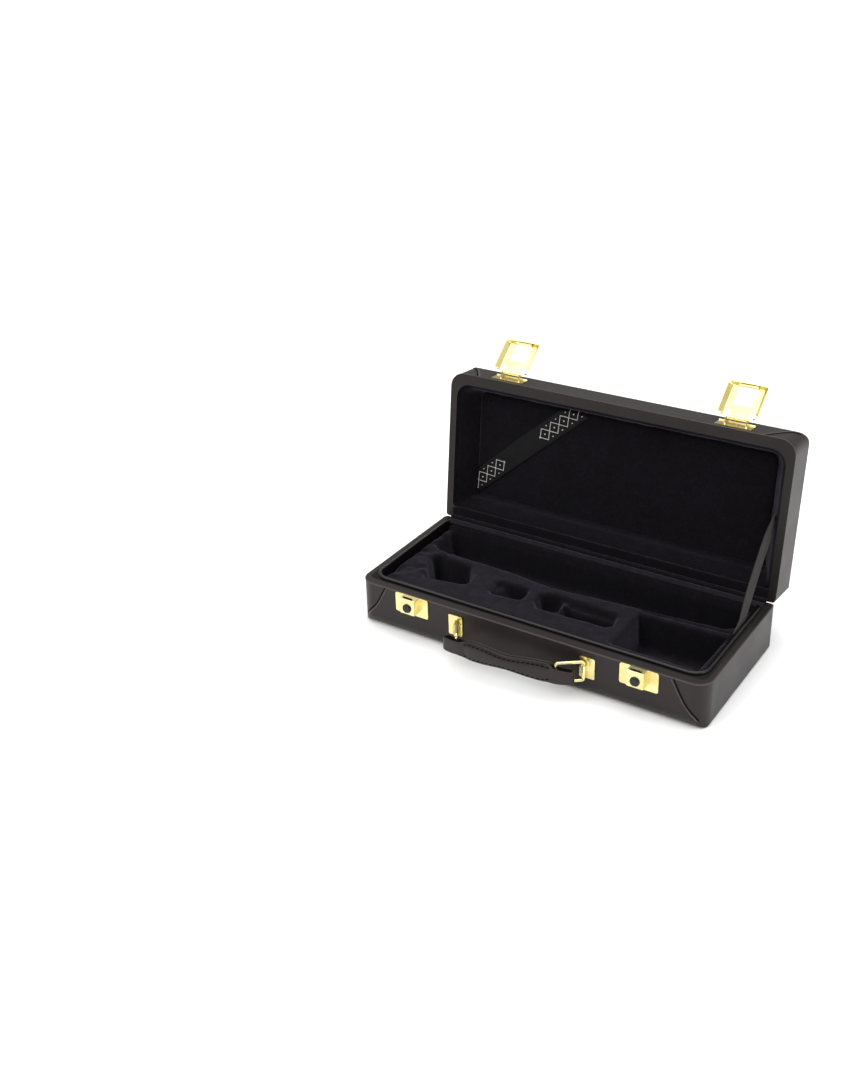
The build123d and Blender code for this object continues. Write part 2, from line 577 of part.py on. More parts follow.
# ------------------------------------------------------- flaps and their plates
for side_name, sx in (("left", -1), ("right", 1)):
    xc = sx * LOCK_X
    with BuildPart() as flap_plate:
        with BuildSketch(face(LID, PLATE_Y)):
            with Locations((xc, 55.0)):
                Rectangle(34, 12)
        extrude(amount=PLATE_T)
        with BuildSketch(side(LID, xc - 17)):
            with Locations((PLATE_Y - 1.0, 61.0)):
                Circle(1.0)
        extrude(amount=34)
        for dx in (-9.9, 9.9):
            with BuildSketch(side(LID, xc + dx - 0.55)):
                with BuildLine():
                    Polyline((PLATE_Y1 + 0.2, 55.6), (FLAP_Y - 0.6, FLAP_Z - 2.0), (FLAP_Y - 0.6, FLAP_Z + 2.0),
                             (PLATE_Y1 + 0.2, 61.6), (PLATE_Y1 + 0.2, 55.6))
                make_face()
                with Locations((FLAP_Y, FLAP_Z)):
                    Circle(2.1)
                    Circle(1.02, mode=Mode.SUBTRACT)
            extrude(amount=1.1)
        rod(face(LID, PLATE_Y + 1), 1.05, 4, Mode.SUBTRACT, [r for r in FLAP_RIVETS if r[0] * sx > 0])
        rod(face(LID, PLATE_Y1 + HEAD_T + 0.02), HEAD_R + 0.02, 4, Mode.SUBTRACT, [r for r in FLAP_RIVETS if r[0] * sx > 0])
    flap_plate.part.label = "flap_plate_" + side_name
    export_step(flap_plate.part, "parts/flap_plate_%s.step" % side_name)

    with BuildPart() as flap_pin:
        with BuildSketch(side(LID, xc - 10.6)):
            with Locations((FLAP_Y, FLAP_Z)):
                Circle(1.0)
        extrude(amount=21.2)
    flap_pin.part.label = "flap_pin_" + side_name
    export_step(flap_pin.part, "parts/flap_pin_%s.step" % side_name)

    with BuildPart() as flap:
        with BuildSketch(face(FLAP, FRONT - 6.5)):
            with Locations((xc, (25.8 + 57.5) / 2)):
                RectangleRounded(31.0, 57.5 - 25.8, 1.6)
        with BuildSketch(face(FLAP, FRONT - 1.4)):
            with Locations((xc, (24.6 + 58.2) / 2)):
                RectangleRounded(38.4, 58.2 - 24.6, 2.6)
        loft()
        with BuildSketch(face(FLAP, FRONT - 5.6)):
            with Locations((xc, (26.7 + 56.8) / 2)):
                RectangleRounded(29.4, 56.8 - 26.7, 1.0)
        with BuildSketch(face(FLAP, FRONT - 1.3)):
            with Locations((xc, (25.5 + 57.4) / 2)):
                RectangleRounded(36.6, 57.4 - 25.5, 1.7)
        loft(mode=Mode.SUBTRACT)
        # window for the housing, recess for the ears
        block(FLAP, xc - 8.7, xc + 8.7, FRONT - 12, FRONT - 4, 27.2, 45.6, Mode.SUBTRACT)
        block(FLAP, xc - 14.4, xc + 14.4, FRONT - 12, FRONT, 50.5, 62, Mode.SUBTRACT)
        # tongue and knuckle
        block(FLAP, xc - 9.0, xc + 9.0, FRONT - 6.5, FRONT - 5.6, 50.3, 58.0)
        with BuildSketch(side(FLAP, xc - 9.0)):
            with Locations((FLAP_Y, FLAP_Z)):
                Circle(1.9)
        extrude(amount=18)
        # lip turned in under the housing
        block(FLAP, xc - 9.0, xc + 9.0, FRONT - 6.0, FRONT - 3.2, 25.7, 27.2)
        with BuildSketch(side(FLAP, xc - 10)):
            with Locations((FLAP_Y, FLAP_Z)):
                Circle(1.05)
        extrude(amount=20, mode=Mode.SUBTRACT)
    flap.part.label = "flap_" + side_name
    export_step(flap.part, "parts/flap_%s.step" % side_name)

with BuildPart() as flap_rivets:
    rod(face(LID, PLATE_Y1 + HEAD_T), HEAD_R, HEAD_T, Mode.ADD, FLAP_RIVETS)
    rod(face(LID, FRONT + 5.6), 1.0, 5.6 + 0.8, Mode.ADD, FLAP_RIVETS)
flap_rivets.part.label = "flap_rivets"
export_step(flap_rivets.part, "parts/flap_rivets.step")

# ------------------------------------------------------------------- handle
BARREL_H = 12.0
BARREL_Z = 25.6
RING_IN = RING_H - 2 * WIRE_R
for side_name, sx, ang, zc in (("left", -1, RING_ANGLE_L, RING_Z_L), ("right", 1, RING_ANGLE_R, RING_Z_R)):
    xc = sx * BRACKET_X
    with BuildPart() as bracket:
        with BuildSketch(face(BASE, PLATE_Y)):
            with Locations((xc + sx * 1.9, 28.4)):
                RectangleRounded(14.5, 20.8, 1.2)
        extrude(amount=1.2)
        with BuildSketch(BASE.offset(BARREL_Z - BARREL_H / 2)):
            with Locations((xc, PIVOT_Y)):
                Circle(2.5)
            with Locations((xc + sx * 1.2, PIVOT_Y + 1.1)):
                Rectangle(2.6, 2.2)
        extrude(amount=BARREL_H)
        with BuildSketch(BASE.offset(BARREL_Z - BARREL_H)):
            with Locations((xc, PIVOT_Y)):
                Circle(WIRE_R + 0.08)
        extrude(amount=2 * BARREL_H, mode=Mode.SUBTRACT)
        rod(face(BASE, PLATE_Y + 1), 1.05, 4, Mode.SUBTRACT, [r for r in BRACKET_RIVETS if r[0] * sx > 0])
        rod(face(BASE, PLATE_Y - 1.2 + HEAD_T + 0.02), HEAD_R + 0.02, 1, Mode.SUBTRACT, [r for r in BRACKET_RIVETS if r[0] * sx > 0])
    bracket.part.label = "bracket_" + side_name
    export_step(bracket.part, "parts/bracket_%s.step" % side_name)

    a = radians(ang)
    h = RING_H / 2 - WIRE_R
    ring_plane = Plane(origin=(xc, PIVOT_Y, zc), x_dir=(-sx * sin(a), -cos(a), 0),
                       z_dir=(-cos(a), sx * sin(a), 0))
    with BuildPart() as ring_part:
        with BuildLine(ring_plane) as wire:
            FilletPolyline((0, -h), (0, h), (RING_REACH, h), (RING_REACH, -h), radius=1.9, close=True)
        with BuildSketch(Plane(origin=wire.line @ 0, z_dir=wire.line % 0)):
            Circle(WIRE_R)
        sweep(transition=Transition.ROUND)
    ring_part.part.label = "ring_" + side_name
    export_step(ring_part.part, "parts/ring_%s.step" % side_name)

with BuildPart() as bracket_rivets:
    rod(face(BASE, PLATE_Y - 1.2 + HEAD_T), HEAD_R, HEAD_T, Mode.ADD, BRACKET_RIVETS)
    rod(face(BASE, FRONT + 5.6), 1.0, 5.6 + 1.0, Mode.ADD, BRACKET_RIVETS)
bracket_rivets.part.label = "bracket_rivets"
export_step(bracket_rivets.part, "parts/bracket_rivets.step")

# the grip rests on the lower bars of the rings and bows outward
GRIP_Z = 24.6
GRIP_T = 8.8
SLOT_T = 5.2
SPINE = ((-68, -98.4), (-58, -99.7), (-50, -100.3), (-25, -100.6), (0, -100.2), (20, -98.0), (40, -94.9),
         (56, -92.4), (66, -90.0))


def spine(x):
    """Depth of the grip's middle line at x, and its slope."""
    n = len(SPINE)
    d = [(SPINE[i + 1][1] - SPINE[i][1]) / (SPINE[i + 1][0] - SPINE[i][0]) for i in range(n - 1)]
    m = [d[0]] + [(d[i] + d[i + 1]) / 2 for i in range(n - 2)] + [d[-1]]
    i = max(0, min(n - 2, sum(1 for p in SPINE if p[0] <= x) - 1))
    h = SPINE[i + 1][0] - SPINE[i][0]
    t = (x - SPINE[i][0]) / h
    y = ((2 * t ** 3 - 3 * t * t + 1) * SPINE[i][1] + (t ** 3 - 2 * t * t + t) * h * m[i]
         + (3 * t * t - 2 * t ** 3) * SPINE[i + 1][1] + (t ** 3 - t * t) * h * m[i + 1])
    s = ((6 * t * t - 6 * t) * (SPINE[i][1] - SPINE[i + 1][1]) / h + (3 * t * t - 4 * t + 1) * m[i]
         + (3 * t * t - 2 * t) * m[i + 1])
    return y, s


def along(x, d):
    """Point set off by d from the middle line, outward when d is negative."""
    y, s = spine(x)
    k = sqrt(1 + s * s)
    return (x - d * s / k, y + d / k)


def grip_band(x0, x1, half, mode=Mode.ADD, steps=12):
    """Band along the grip's middle line with round ends."""
    xs = [x0 + (x1 - x0) * i / steps for i in range(steps + 1)]
    with BuildLine() as line:
        front = [along(x, -half) for x in xs]
        back = [along(x, half) for x in xs]
        Spline(*front)
        ThreePointArc(front[-1], (along(x1, 0)[0] + half, along(x1, 0)[1] + half * spine(x1)[1]), back[-1])
        Spline(*back[::-1])
        ThreePointArc(back[0], (along(x0, 0)[0] - half, along(x0, 0)[1] - half * spine(x0)[1]), front[0])
    make_face(line.edges(), mode=mode)


with BuildPart() as handle_grip:
    with BuildSketch(BASE.offset(GRIP_Z - 12)):
        grip_band(-61.4, 57.8, GRIP_T / 2)
    extrude(amount=24)
    with BuildSketch(face(BASE, -70)):
        with BuildLine():
            _side = ((-70, 6.1), (-60, 6.1), (-50, 6.2), (-46, 6.9), (-38, 9.4), (-26, 9.5), (0, 7.3), (24, 9.3),
                     (34, 9.5), (41, 7.4), (44.5, 6.4), (52, 6.1), (66, 6.1))
            Spline(*[(x, GRIP_Z + h) for x, h in _side])
            Line((66, GRIP_Z + 6.1), (66, GRIP_Z - 6.1))
            Spline(*[(x, GRIP_Z - h) for x, h in _side[::-1]])
            Line((-70, GRIP_Z - 6.1), (-70, GRIP_Z + 6.1))
        make_face()
    extrude(amount=45, mode=Mode.INTERSECT)
    with BuildSketch(BASE.offset(GRIP_Z - 12)):
        grip_band(-61.4, -45.5, SLOT_T / 2, steps=4)
        grip_band(43.5, 57.8, SLOT_T / 2, steps=4)
    extrude(amount=24, mode=Mode.SUBTRACT)
    with BuildSketch(BASE.offset(GRIP_Z - 5.2)):
        grip_band(-34.2, 34.2, 1.6)
    extrude(amount=10.4, mode=Mode.SUBTRACT)
handle_grip.part.label = "handle_grip"
export_step(handle_grip.part, "parts/handle_grip.step")
with BuildPart() as handle_core:
    with BuildSketch(BASE.offset(GRIP_Z - 5.1)):
        grip_band(-34.2, 34.2, 1.5)
    extrude(amount=10.2)
handle_core.part.label = "handle_core"
export_step(handle_core.part, "parts/handle_core.step")

# ----------------------------------------------------------------- lid stay
STAY_X = 162.3
STAY_T = 1.1
STAY_W = 9.0
_top = turned(HINGE_Y, HINGE_Z, -1.5, 50.6, THETA)
_knee = (30.5, 51.5)
_low = (9.0, 42.6)


def band(points, w):
    """Outline of a flat band of width w along the points."""
    n = len(points)
    left, right = [], []
    for i, (y, z) in enumerate(points):
        if i == 0:
            d = (points[1][0] - y, points[1][1] - z)
        elif i == n - 1:
            d = (y - points[-2][0], z - points[-2][1])
        else:
            d0 = (y - points[i - 1][0], z - points[i - 1][1])
            d1 = (points[i + 1][0] - y, points[i + 1][1] - z)
            l0, l1 = hypot(*d0), hypot(*d1)
            d = (d0[0] / l0 + d1[0] / l1, d0[1] / l0 + d1[1] / l1)
        l = hypot(*d)
        k = 1.0
        if 0 < i < n - 1:
            k = 1.0 / max(0.5, (d[0] * d0[0] + d[1] * d0[1]) / (l * l0))
        nx, nz = -d[1] / l * w / 2 * k, d[0] / l * w / 2 * k
        left.append((y + nx, z + nz))
        right.append((y - nx, z - nz))
    return left + right[::-1]


_b = band([(_top[0] + 2.6, _top[1] + 3.1), _knee, _low], STAY_W)
with BuildPart() as stay_strap:
    with BuildSketch(side(BASE, STAY_X)):
        with BuildLine():
            Polyline(_b + [_b[0]])
        make_face()
    extrude(amount=STAY_T)
    rod(side(BASE, 160), 0.75, 7, Mode.SUBTRACT, ((12, 43.6),))
    rod(side(LID, 160), 0.75, 7, Mode.SUBTRACT, ((-1.5, 50.6),))
stay_strap.part.label = "stay_strap"
export_step(stay_strap.part, "parts/stay_strap.step")

with BuildPart() as strap_tack_base:
    rod(side(BASE, STAY_X - 0.85), 2.2, 0.8, Mode.ADD, ((12, 43.6),))
    rod(side(BASE, STAY_X - 0.1), 0.7, 4.0, Mode.ADD, ((12, 43.6),))
    fillet(strap_tack_base.faces().sort_by(Axis.X)[0].edges(), 0.5)
strap_tack_base.part.label = "strap_tack_base"
export_step(strap_tack_base.part, "parts/strap_tack_base.step")
with BuildPart() as strap_tack_lid:
    rod(side(LID, STAY_X - 0.85), 2.2, 0.8, Mode.ADD, ((-1.5, 50.6),))
    rod(side(LID, STAY_X - 0.1), 0.7, 4.5, Mode.ADD, ((-1.5, 50.6),))
    fillet(strap_tack_lid.faces().sort_by(Axis.X)[0].edges(), 0.5)
strap_tack_lid.part.label = "strap_tack_lid"
export_step(strap_tack_lid.part, "parts/strap_tack_lid.step")
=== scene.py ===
import bpy, bmesh, json, math
from math import sin, cos, radians, degrees, pi, sqrt, hypot, atan2, floor
from mathutils import Vector, Matrix, noise
import numpy as np


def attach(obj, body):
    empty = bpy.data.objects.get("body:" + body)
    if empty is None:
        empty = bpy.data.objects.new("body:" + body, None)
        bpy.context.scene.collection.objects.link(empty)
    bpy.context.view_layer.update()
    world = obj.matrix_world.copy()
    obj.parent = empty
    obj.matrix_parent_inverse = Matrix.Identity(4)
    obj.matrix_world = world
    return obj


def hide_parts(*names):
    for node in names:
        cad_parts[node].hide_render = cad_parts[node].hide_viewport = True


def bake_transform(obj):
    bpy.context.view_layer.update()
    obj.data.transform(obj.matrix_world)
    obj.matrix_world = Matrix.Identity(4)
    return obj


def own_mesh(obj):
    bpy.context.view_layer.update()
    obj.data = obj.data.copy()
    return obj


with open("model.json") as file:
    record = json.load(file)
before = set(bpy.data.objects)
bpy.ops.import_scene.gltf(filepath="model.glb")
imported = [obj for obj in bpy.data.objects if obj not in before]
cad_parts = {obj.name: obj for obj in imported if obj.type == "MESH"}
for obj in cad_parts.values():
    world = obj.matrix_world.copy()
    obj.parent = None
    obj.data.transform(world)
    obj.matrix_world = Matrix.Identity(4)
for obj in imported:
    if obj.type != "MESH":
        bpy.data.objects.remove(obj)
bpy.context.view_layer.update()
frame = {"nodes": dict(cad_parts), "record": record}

MM = 0.001
# ------------------------------------------------------------ case dimensions
LENGTH, DEPTH, BASE_H, LID_H = 350.0, 153.0, 45.0, 38.0
FRONT, BACK = -DEPTH / 2, DEPTH / 2
HY, HZ, THETA = 77.0, 45.0, 96.2
LAND = 40.0
PAD_Z = 67.0


def lidw(x, y, z):
    """Closed-lid coordinates (mm) to the open lid's place in the frame (m)."""
    a = radians(THETA)
    return Vector((x * MM,
                   (HY + (y - HY) * cos(a) + (z - HZ) * sin(a)) * MM,
                   (HZ - (y - HY) * sin(a) + (z - HZ) * cos(a)) * MM))


def basew(x, y, z):
    return Vector((x * MM, y * MM, z * MM))


# -------------------------------------------------------------- node helpers
class Nodes:
    def __init__(self, name, **base):
        self.m = bpy.data.materials.new(name)
        self.m.use_nodes = True
        self.t = self.m.node_tree
        self.t.nodes.clear()
        self.out = self.t.nodes.new("ShaderNodeOutputMaterial")
        self.b = self.t.nodes.new("ShaderNodeBsdfPrincipled")
        self.t.links.new(self.b.outputs[0], self.out.inputs[0])
        for k, v in base.items():
            self.set(k, v)

    def set(self, name, v):
        s = self.b.inputs[name.replace("_", " ")]
        if isinstance(v, (tuple, list)) and len(v) == 3 and s.type == 'RGBA':
            v = (*v, 1.0)
        s.default_value = v

    def n(self, kind, **props):
        node = self.t.nodes.new(kind)
        for k, v in props.items():
            if k == "ins":
                for i, val in v.items():
                    node.inputs[i].default_value = val
            else:
                setattr(node, k, v)
        return node

    def link(self, a, b):
        self.t.links.new(a, b)

    def coord(self, which="Object"):
        return self.n("ShaderNodeTexCoord").outputs[which]

    def mapped(self, src, scale=(1, 1, 1), rot=(0, 0, 0), loc=(0, 0, 0)):
        mp = self.n("ShaderNodeMapping")
        mp.inputs["Scale"].default_value = scale
        mp.inputs["Rotation"].default_value = rot
        mp.inputs["Location"].default_value = loc
        self.link(src, mp.inputs["Vector"])
        return mp.outputs[0]

    def noise(self, src, scale, detail=3.0, rough=0.55, dist=0.0):
        t = self.n("ShaderNodeTexNoise")
        t.inputs["Scale"].default_value = scale
        t.inputs["Detail"].default_value = detail
        t.inputs["Roughness"].default_value = rough
        t.inputs["Distortion"].default_value = dist
        self.link(src, t.inputs["Vector"])
        return t.outputs["Fac"]

    def voro(self, src, scale, feature='F1', rnd=1.0):
        t = self.n("ShaderNodeTexVoronoi", feature=feature)
        t.inputs["Scale"].default_value = scale
        t.inputs["Randomness"].default_value = rnd
        self.link(src, t.inputs["Vector"])
        return t.outputs["Distance"]

    def math(self, op, a, b=None, clamp=False):
        m = self.n("ShaderNodeMath", operation=op, use_clamp=clamp)
        for i, v in enumerate((a, b)):
            if v is None:
                continue
            if isinstance(v, (int, float)):
                m.inputs[i].default_value = v
            else:
                self.link(v, m.inputs[i])
        return m.outputs[0]

    def ramp(self, fac, stops):
        r = self.n("ShaderNodeValToRGB")
        el = r.color_ramp.elements
        while len(el) < len(stops):
            el.new(0.5)
        for e, (p, c) in zip(el, stops):
            e.position = p
            if isinstance(c, (int, float)):
                c = (c, c, c)
            e.color = (*c, 1.0)
        self.link(fac, r.inputs[0])
        return r.outputs[0]

    def mix(self, fac, a, b):
        m = self.n("ShaderNodeMix", data_type='RGBA')
        for sock, v in ((m.inputs[0], fac), (m.inputs[6], a), (m.inputs[7], b)):
            if isinstance(v, (int, float)):
                sock.default_value = v
            elif isinstance(v, tuple):
                sock.default_value = (*v, 1.0)
            else:
                self.link(v, sock)
        return m.outputs[2]

    def bump(self, height, dist, strength=1.0, normal=None):
        b = self.n("ShaderNodeBump")
        b.inputs["Strength"].default_value = strength
        b.inputs["Distance"].default_value = dist
        self.link(height, b.inputs["Height"])
        if normal is not None:
            self.link(normal, b.inputs["Normal"])
        return b.outputs[0]

    def to(self, name, sock):
        self.link(sock, self.b.inputs[name])


def hexc(h):
    v = [int(h[i:i + 2], 16) / 255 for i in (0, 2, 4)]
    return tuple(c / 12.92 if c <= 0.04045 else ((c + 0.055) / 1.055) ** 2.4 for c in v)


# ----------------------------------------------------------------- materials
def leather(name, dark, light, rough=(0.40, 0.52), grain=1500, coarse=0.5, bumpk=1.0):
    """Smooth calf: fine pebble, pores, a little handling wear."""
    m = Nodes(name, Specular_IOR_Level=0.30, Specular_Tint=(1.0, 0.90, 0.88))
    c = m.coord()
    n1 = m.noise(c, 26, 5, 0.6)
    n2 = m.noise(c, 190, 4, 0.6)
    col = m.mix(m.math('MULTIPLY', m.math('ADD', n1, n2), 0.5), dark, light)
    g = m.voro(c, grain, 'SMOOTH_F1')
    pore = m.noise(c, grain * 0.7, 2, 0.5)
    col2 = m.mix(m.ramp(g, [(0.0, 0.16), (0.55, 0.0)]), col, tuple(v * 0.45 for v in dark))
    m.to("Base Color", col2)
    r = m.ramp(n1, [(0.3, rough[0]), (0.72, rough[1])])
    m.to("Roughness", r)
    h1 = m.bump(g, 0.00012, 0.55 * bumpk)
    h2 = m.bump(pore, 0.00008, 0.45 * bumpk, h1)
    h3 = m.bump(n1, 0.0009, 0.35 * coarse, h2)
    m.to("Normal", h3)
    m.set("Coat_Weight", 0.10)
    m.set("Coat_Roughness", 0.32)
    return m.m


def plush(name, dark, light, sheen=0.9, tint=(0.42, 0.38, 0.55), painted_wall_shade=False):
    """Short velvet pile: nap patches, fibre speckle, edge sheen, and optionally painted shade on the upright faces."""
    m = Nodes(name, Roughness=0.95, Specular_IOR_Level=0.12)
    c = m.coord()
    nap = m.noise(c, 34, 4, 0.62, 0.8)
    nap2 = m.noise(c, 120, 3, 0.6, 0.4)
    fib = m.noise(c, 2600, 2, 0.7)
    f = m.math('ADD', m.math('MULTIPLY', nap, 0.55), m.math('MULTIPLY', nap2, 0.45))
    col = m.mix(m.ramp(f, [(0.36, 0.0), (0.66, 1.0)]), dark, light)
    tuft = m.noise(c, 520, 3, 0.75)
    col = m.mix(m.ramp(tuft, [(0.40, 0.55), (0.60, 0.0)]), col, tuple(v * 0.4 for v in dark))
    col = m.mix(m.ramp(tuft, [(0.56, 0.0), (0.70, 0.35)]), col, tuple(min(1.0, v * 2.4) for v in light))
    col = m.mix(m.ramp(fib, [(0.35, 0.38), (0.7, 0.0)]), col, tuple(v * 0.3 for v in dark))
    if painted_wall_shade:
        # painted shade: the upright faces are darkened, standing in for the shade on the pocket walls
        sep = m.n("ShaderNodeSeparateXYZ")
        m.link(m.n("ShaderNodeNewGeometry").outputs["Normal"], sep.inputs[0])
        col = m.mix(m.ramp(m.math('ABSOLUTE', sep.outputs[2]), [(0.25, 0.62), (0.75, 0.0)]), col,
                    tuple(v * 0.35 for v in dark))
    m.to("Base Color", col)
    b1 = m.bump(fib, 0.00035, 0.75)
    b2 = m.bump(nap2, 0.0012, 0.40, m.bump(tuft, 0.0006, 0.55, b1))
    m.to("Normal", b2)
    m.set("Sheen_Weight", sheen)
    m.set("Sheen_Roughness", 0.42)
    m.set("Sheen_Tint", tint)
    return m.m


def metal(name, col, rough=0.16, scratch=0.5, tint=None):
    """Polished metal with faint rolling marks."""
    m = Nodes(name, Metallic=1.0)
    c = m.coord()
    n = m.noise(c, 60, 4, 0.6)
    fine = m.noise(m.mapped(c, (1, 1, 6)), 900, 3, 0.6)
    dark = tint or tuple(v * 0.80 for v in col)
    m.to("Base Color", m.mix(m.ramp(n, [(0.35, 0.0), (0.75, 1.0)]), col, dark))
    m.to("Roughness", m.ramp(m.math('ADD', m.math('MULTIPLY', n, 0.5), m.math('MULTIPLY', fine, 0.5)),
                             [(0.3, rough * 0.7), (0.7, rough * 1.45)]))
    m.to("Normal", m.bump(fine, 0.00003, 0.35 * scratch))
    return m.m


M = {}
M["leather"] = leather("case_leather", hexc("120e0d"), hexc("1f1a19"))
M["rim"] = leather("rim_leather", hexc("110d0e"), hexc("1b1717"), (0.44, 0.58), 1300, 0.35)
M["bead"] = leather("bead_leather", hexc("060505"), hexc("0d0b0b"), (0.19, 0.27), 1500, 0.3, 0.5)
# painted highlight: much lighter leather for the rim-edge and seam-welt tubes, standing in for the light their rounded
# edges catch
M["edge"] = leather("edge_leather_painted_highlight", hexc("352f2e"), hexc("463f3d"), (0.32, 0.42), 1500, 0.3, 0.6)
M["grip"] = leather("grip_leather", hexc("130f0e"), hexc("211c1b"), (0.38, 0.50), 1400, 0.5, 1.2)
M["plush"] = plush("insert_plush", hexc("09070b"), hexc("1a161e"), 0.30, (0.36, 0.33, 0.42), True)
M["plush_lid"] = plush("lid_plush", hexc("09070b"), hexc("15121a"), 0.28, (0.36, 0.33, 0.42))
M["brass"] = metal("polished_brass", hexc("f1e6ae"), 0.24, 0.5, hexc("d6c47c"))
M["steel"] = metal("zinc_steel", hexc("8d8d90"), 0.32)
M["dark_steel"] = metal("dark_steel", hexc("26252a"), 0.36)


def rim_band():
    """Rim leather, with painted shade where it meets the bead and a painted highlight along the outer edge."""
    m = Nodes("rim_band_leather", Specular_IOR_Level=0.30, Specular_Tint=(1.0, 0.90, 0.88))
    c = m.coord()
    sep = m.n("ShaderNodeSeparateXYZ")
    m.link(c, sep.inputs[0])
    u = m.math('MAXIMUM', m.math('SUBTRACT', m.math('ABSOLUTE', sep.outputs[0]), 0.1605), 0.0)
    v = m.math('MAXIMUM', m.math('SUBTRACT', m.math('MULTIPLY', sep.outputs[1], -1.0), 0.062), 0.0)

    def rad(su, sv):
        a = m.math('DIVIDE', u, su)
        b = m.math('DIVIDE', v, sv)
        return m.math('SQRT', m.math('ADD', m.math('MULTIPLY', a, a), m.math('MULTIPLY', b, b)))
    # painted shade: near-black band next to the bead, standing in for the shade in the crease
    crease_shade = m.ramp(m.math('MULTIPLY', rad(0.0078, 0.0049), 0.5), [(0.56, 1.0), (0.68, 0.0)])
    # painted highlight: lighter band along the outer edge, standing in for the light the rounded edge catches
    edge_highlight = m.ramp(rad(0.0145, 0.0145), [(0.90, 0.0), (0.975, 1.0)])
    n1 = m.noise(c, 26, 5, 0.6)
    col = m.mix(n1, hexc("110d0e"), hexc("1d1919"))
    col = m.mix(edge_highlight, col, hexc("3a3433"))
    m.to("Base Color", m.mix(crease_shade, col, hexc("020202")))
    m.to("Roughness", m.math('ADD', m.ramp(n1, [(0.3, 0.44), (0.72, 0.58)]), m.math('MULTIPLY', crease_shade, 0.35)))
    g = m.voro(c, 1300, 'SMOOTH_F1')
    m.to("Normal", m.bump(n1, 0.0009, 0.2, m.bump(g, 0.00012, 0.5)))
    return m.m


M["rim_band"] = rim_band()
# painted shade: near-black matte strip laid beside each corner welt, standing in for the shade in the seam's groove
m = Nodes("seam_painted_shade", Roughness=0.9, Specular_IOR_Level=0.1)
m.to("Base Color", m.mix(m.noise(m.coord(), 900, 2), hexc("030303"), hexc("0a0808")))
m.to("Normal", m.bump(m.noise(m.coord(), 1600, 2), 0.00005, 0.4))
M["crease"] = m.m
m = Nodes("gloss_black", Base_Color=hexc("060606"), Roughness=0.2, Specular_IOR_Level=0.32, Coat_Weight=0.12,
          Coat_Roughness=0.10)
m.to("Normal", m.bump(m.noise(m.coord(), 700, 3), 0.00002, 0.3))
m.to("Roughness", m.ramp(m.noise(m.coord(), 240, 3), [(0.3, 0.14), (0.7, 0.26)]))
M["black"] = m.m

m = Nodes("plywood", Roughness=0.75, Specular_IOR_Level=0.25)
c = m.coord()
gr = m.noise(m.mapped(c, (6, 60, 60)), 9, 5, 0.6, 0.6)
m.to("Base Color", m.mix(gr, hexc("0c0a09"), hexc("17130f")))
m.to("Normal", m.bump(gr, 0.0004, 0.4))
M["wood"] = m.m

m = Nodes("stitch_thread", Roughness=0.8, Specular_IOR_Level=0.08)
c = m.coord()
m.to("Base Color", m.mix(m.noise(c, 1800, 2), hexc("020202"), hexc("0a0909")))
m.to("Normal", m.bump(m.noise(c, 3000, 2), 0.0001, 0.5))
M["thread"] = m.m

# floor
m = Nodes("studio_floor", Roughness=0.85, Specular_IOR_Level=0.15)
c = m.coord()
m.to("Base Color", m.mix(m.noise(c, 3, 3), (0.90, 0.90, 0.90), (0.93, 0.93, 0.93)))
M["floor"] = m.m

# ----------------------------------------------------------- materials on CAD
SLOT_MAT = {"leather": "leather", "rim_leather": "rim", "plywood": "wood", "plush": "plush",
            "satin": "rim", "webbing": "thread", "brass": "brass", "steel": "steel",
            "button": "black", "board": "wood"}
slot_of = {s["node"]: s["material_slot"] for s in frame["record"]["subparts"]}
for name, ob in frame["nodes"].items():
    mat = M[{"base_lip": "bead", "base_rim": "rim_band", "strap_tack_base": "black", "strap_tack_lid": "black",
           "catch_left": "dark_steel", "catch_right": "dark_steel"}.get(
        name, SLOT_MAT[slot_of[name]])]
    if not ob.material_slots:
        ob.data.materials.append(mat)
    for s in ob.material_slots:
        s.material = mat


# ------------------------------------------------------------- mesh builders
def mesh_obj(name, verts, faces, mat, smooth=True, uvs=None):
    me = bpy.data.meshes.new(name)
    me.from_pydata([tuple(v) for v in verts], [], faces)
    me.update()
    if smooth:
        me.polygons.foreach_set("use_smooth", [True] * len(me.polygons))
    if uvs is not None:
        uv = me.uv_layers.new(name="UVMap")
        for loop in me.loops:
            uv.data[loop.index].uv = uvs[loop.vertex_index]
    ob = bpy.data.objects.new(name, me)
    bpy.context.scene.collection.objects.link(ob)
    ob.data.materials.append(mat)
    return ob


def fix_normals(ob):
    bm = bmesh.new()
    bm.from_mesh(ob.data)
    bmesh.ops.recalc_face_normals(bm, faces=bm.faces)
    bm.to_mesh(ob.data)
    bm.free()


def tube(points, radius, n=8, closed=False, flat=None, up=None):
    """Verts and faces of a round (or flattened) tube along points (Vectors, m)."""
    verts, faces = [], []
    k = len(points)
    for i, p in enumerate(points):
        a = points[(i - 1) % k] if (closed or i > 0) else points[i]
        b = points[(i + 1) % k] if (closed or i < k - 1) else points[i]
        t = (b - a).normalized()
        u = up[i] if up else Vector((0, 0, 1))
        s = t.cross(u)
        if s.length < 1e-6:
            s = t.cross(Vector((1, 0, 0)))
        s.normalize()
        w = s.cross(t).normalized()
        r = radius[i] if isinstance(radius, (list, tuple)) else radius
        for j in range(n):
            ang = 2 * pi * j / n
            verts.append(p + s * (cos(ang) * r) + w * (sin(ang) * r * (flat or 1.0)))
    rings = k if closed else k - 1
    for i in range(rings):
        for j in range(n):
            a0 = i * n + j
            a1 = i * n + (j + 1) % n
            b0 = ((i + 1) % k) * n + j
            b1 = ((i + 1) % k) * n + (j + 1) % n
            faces.append((a0, a1, b1, b0))
    if not closed:
        faces.append(tuple(reversed(range(n))))
        faces.append(tuple(range((k - 1) * n, k * n)))
    return verts, faces


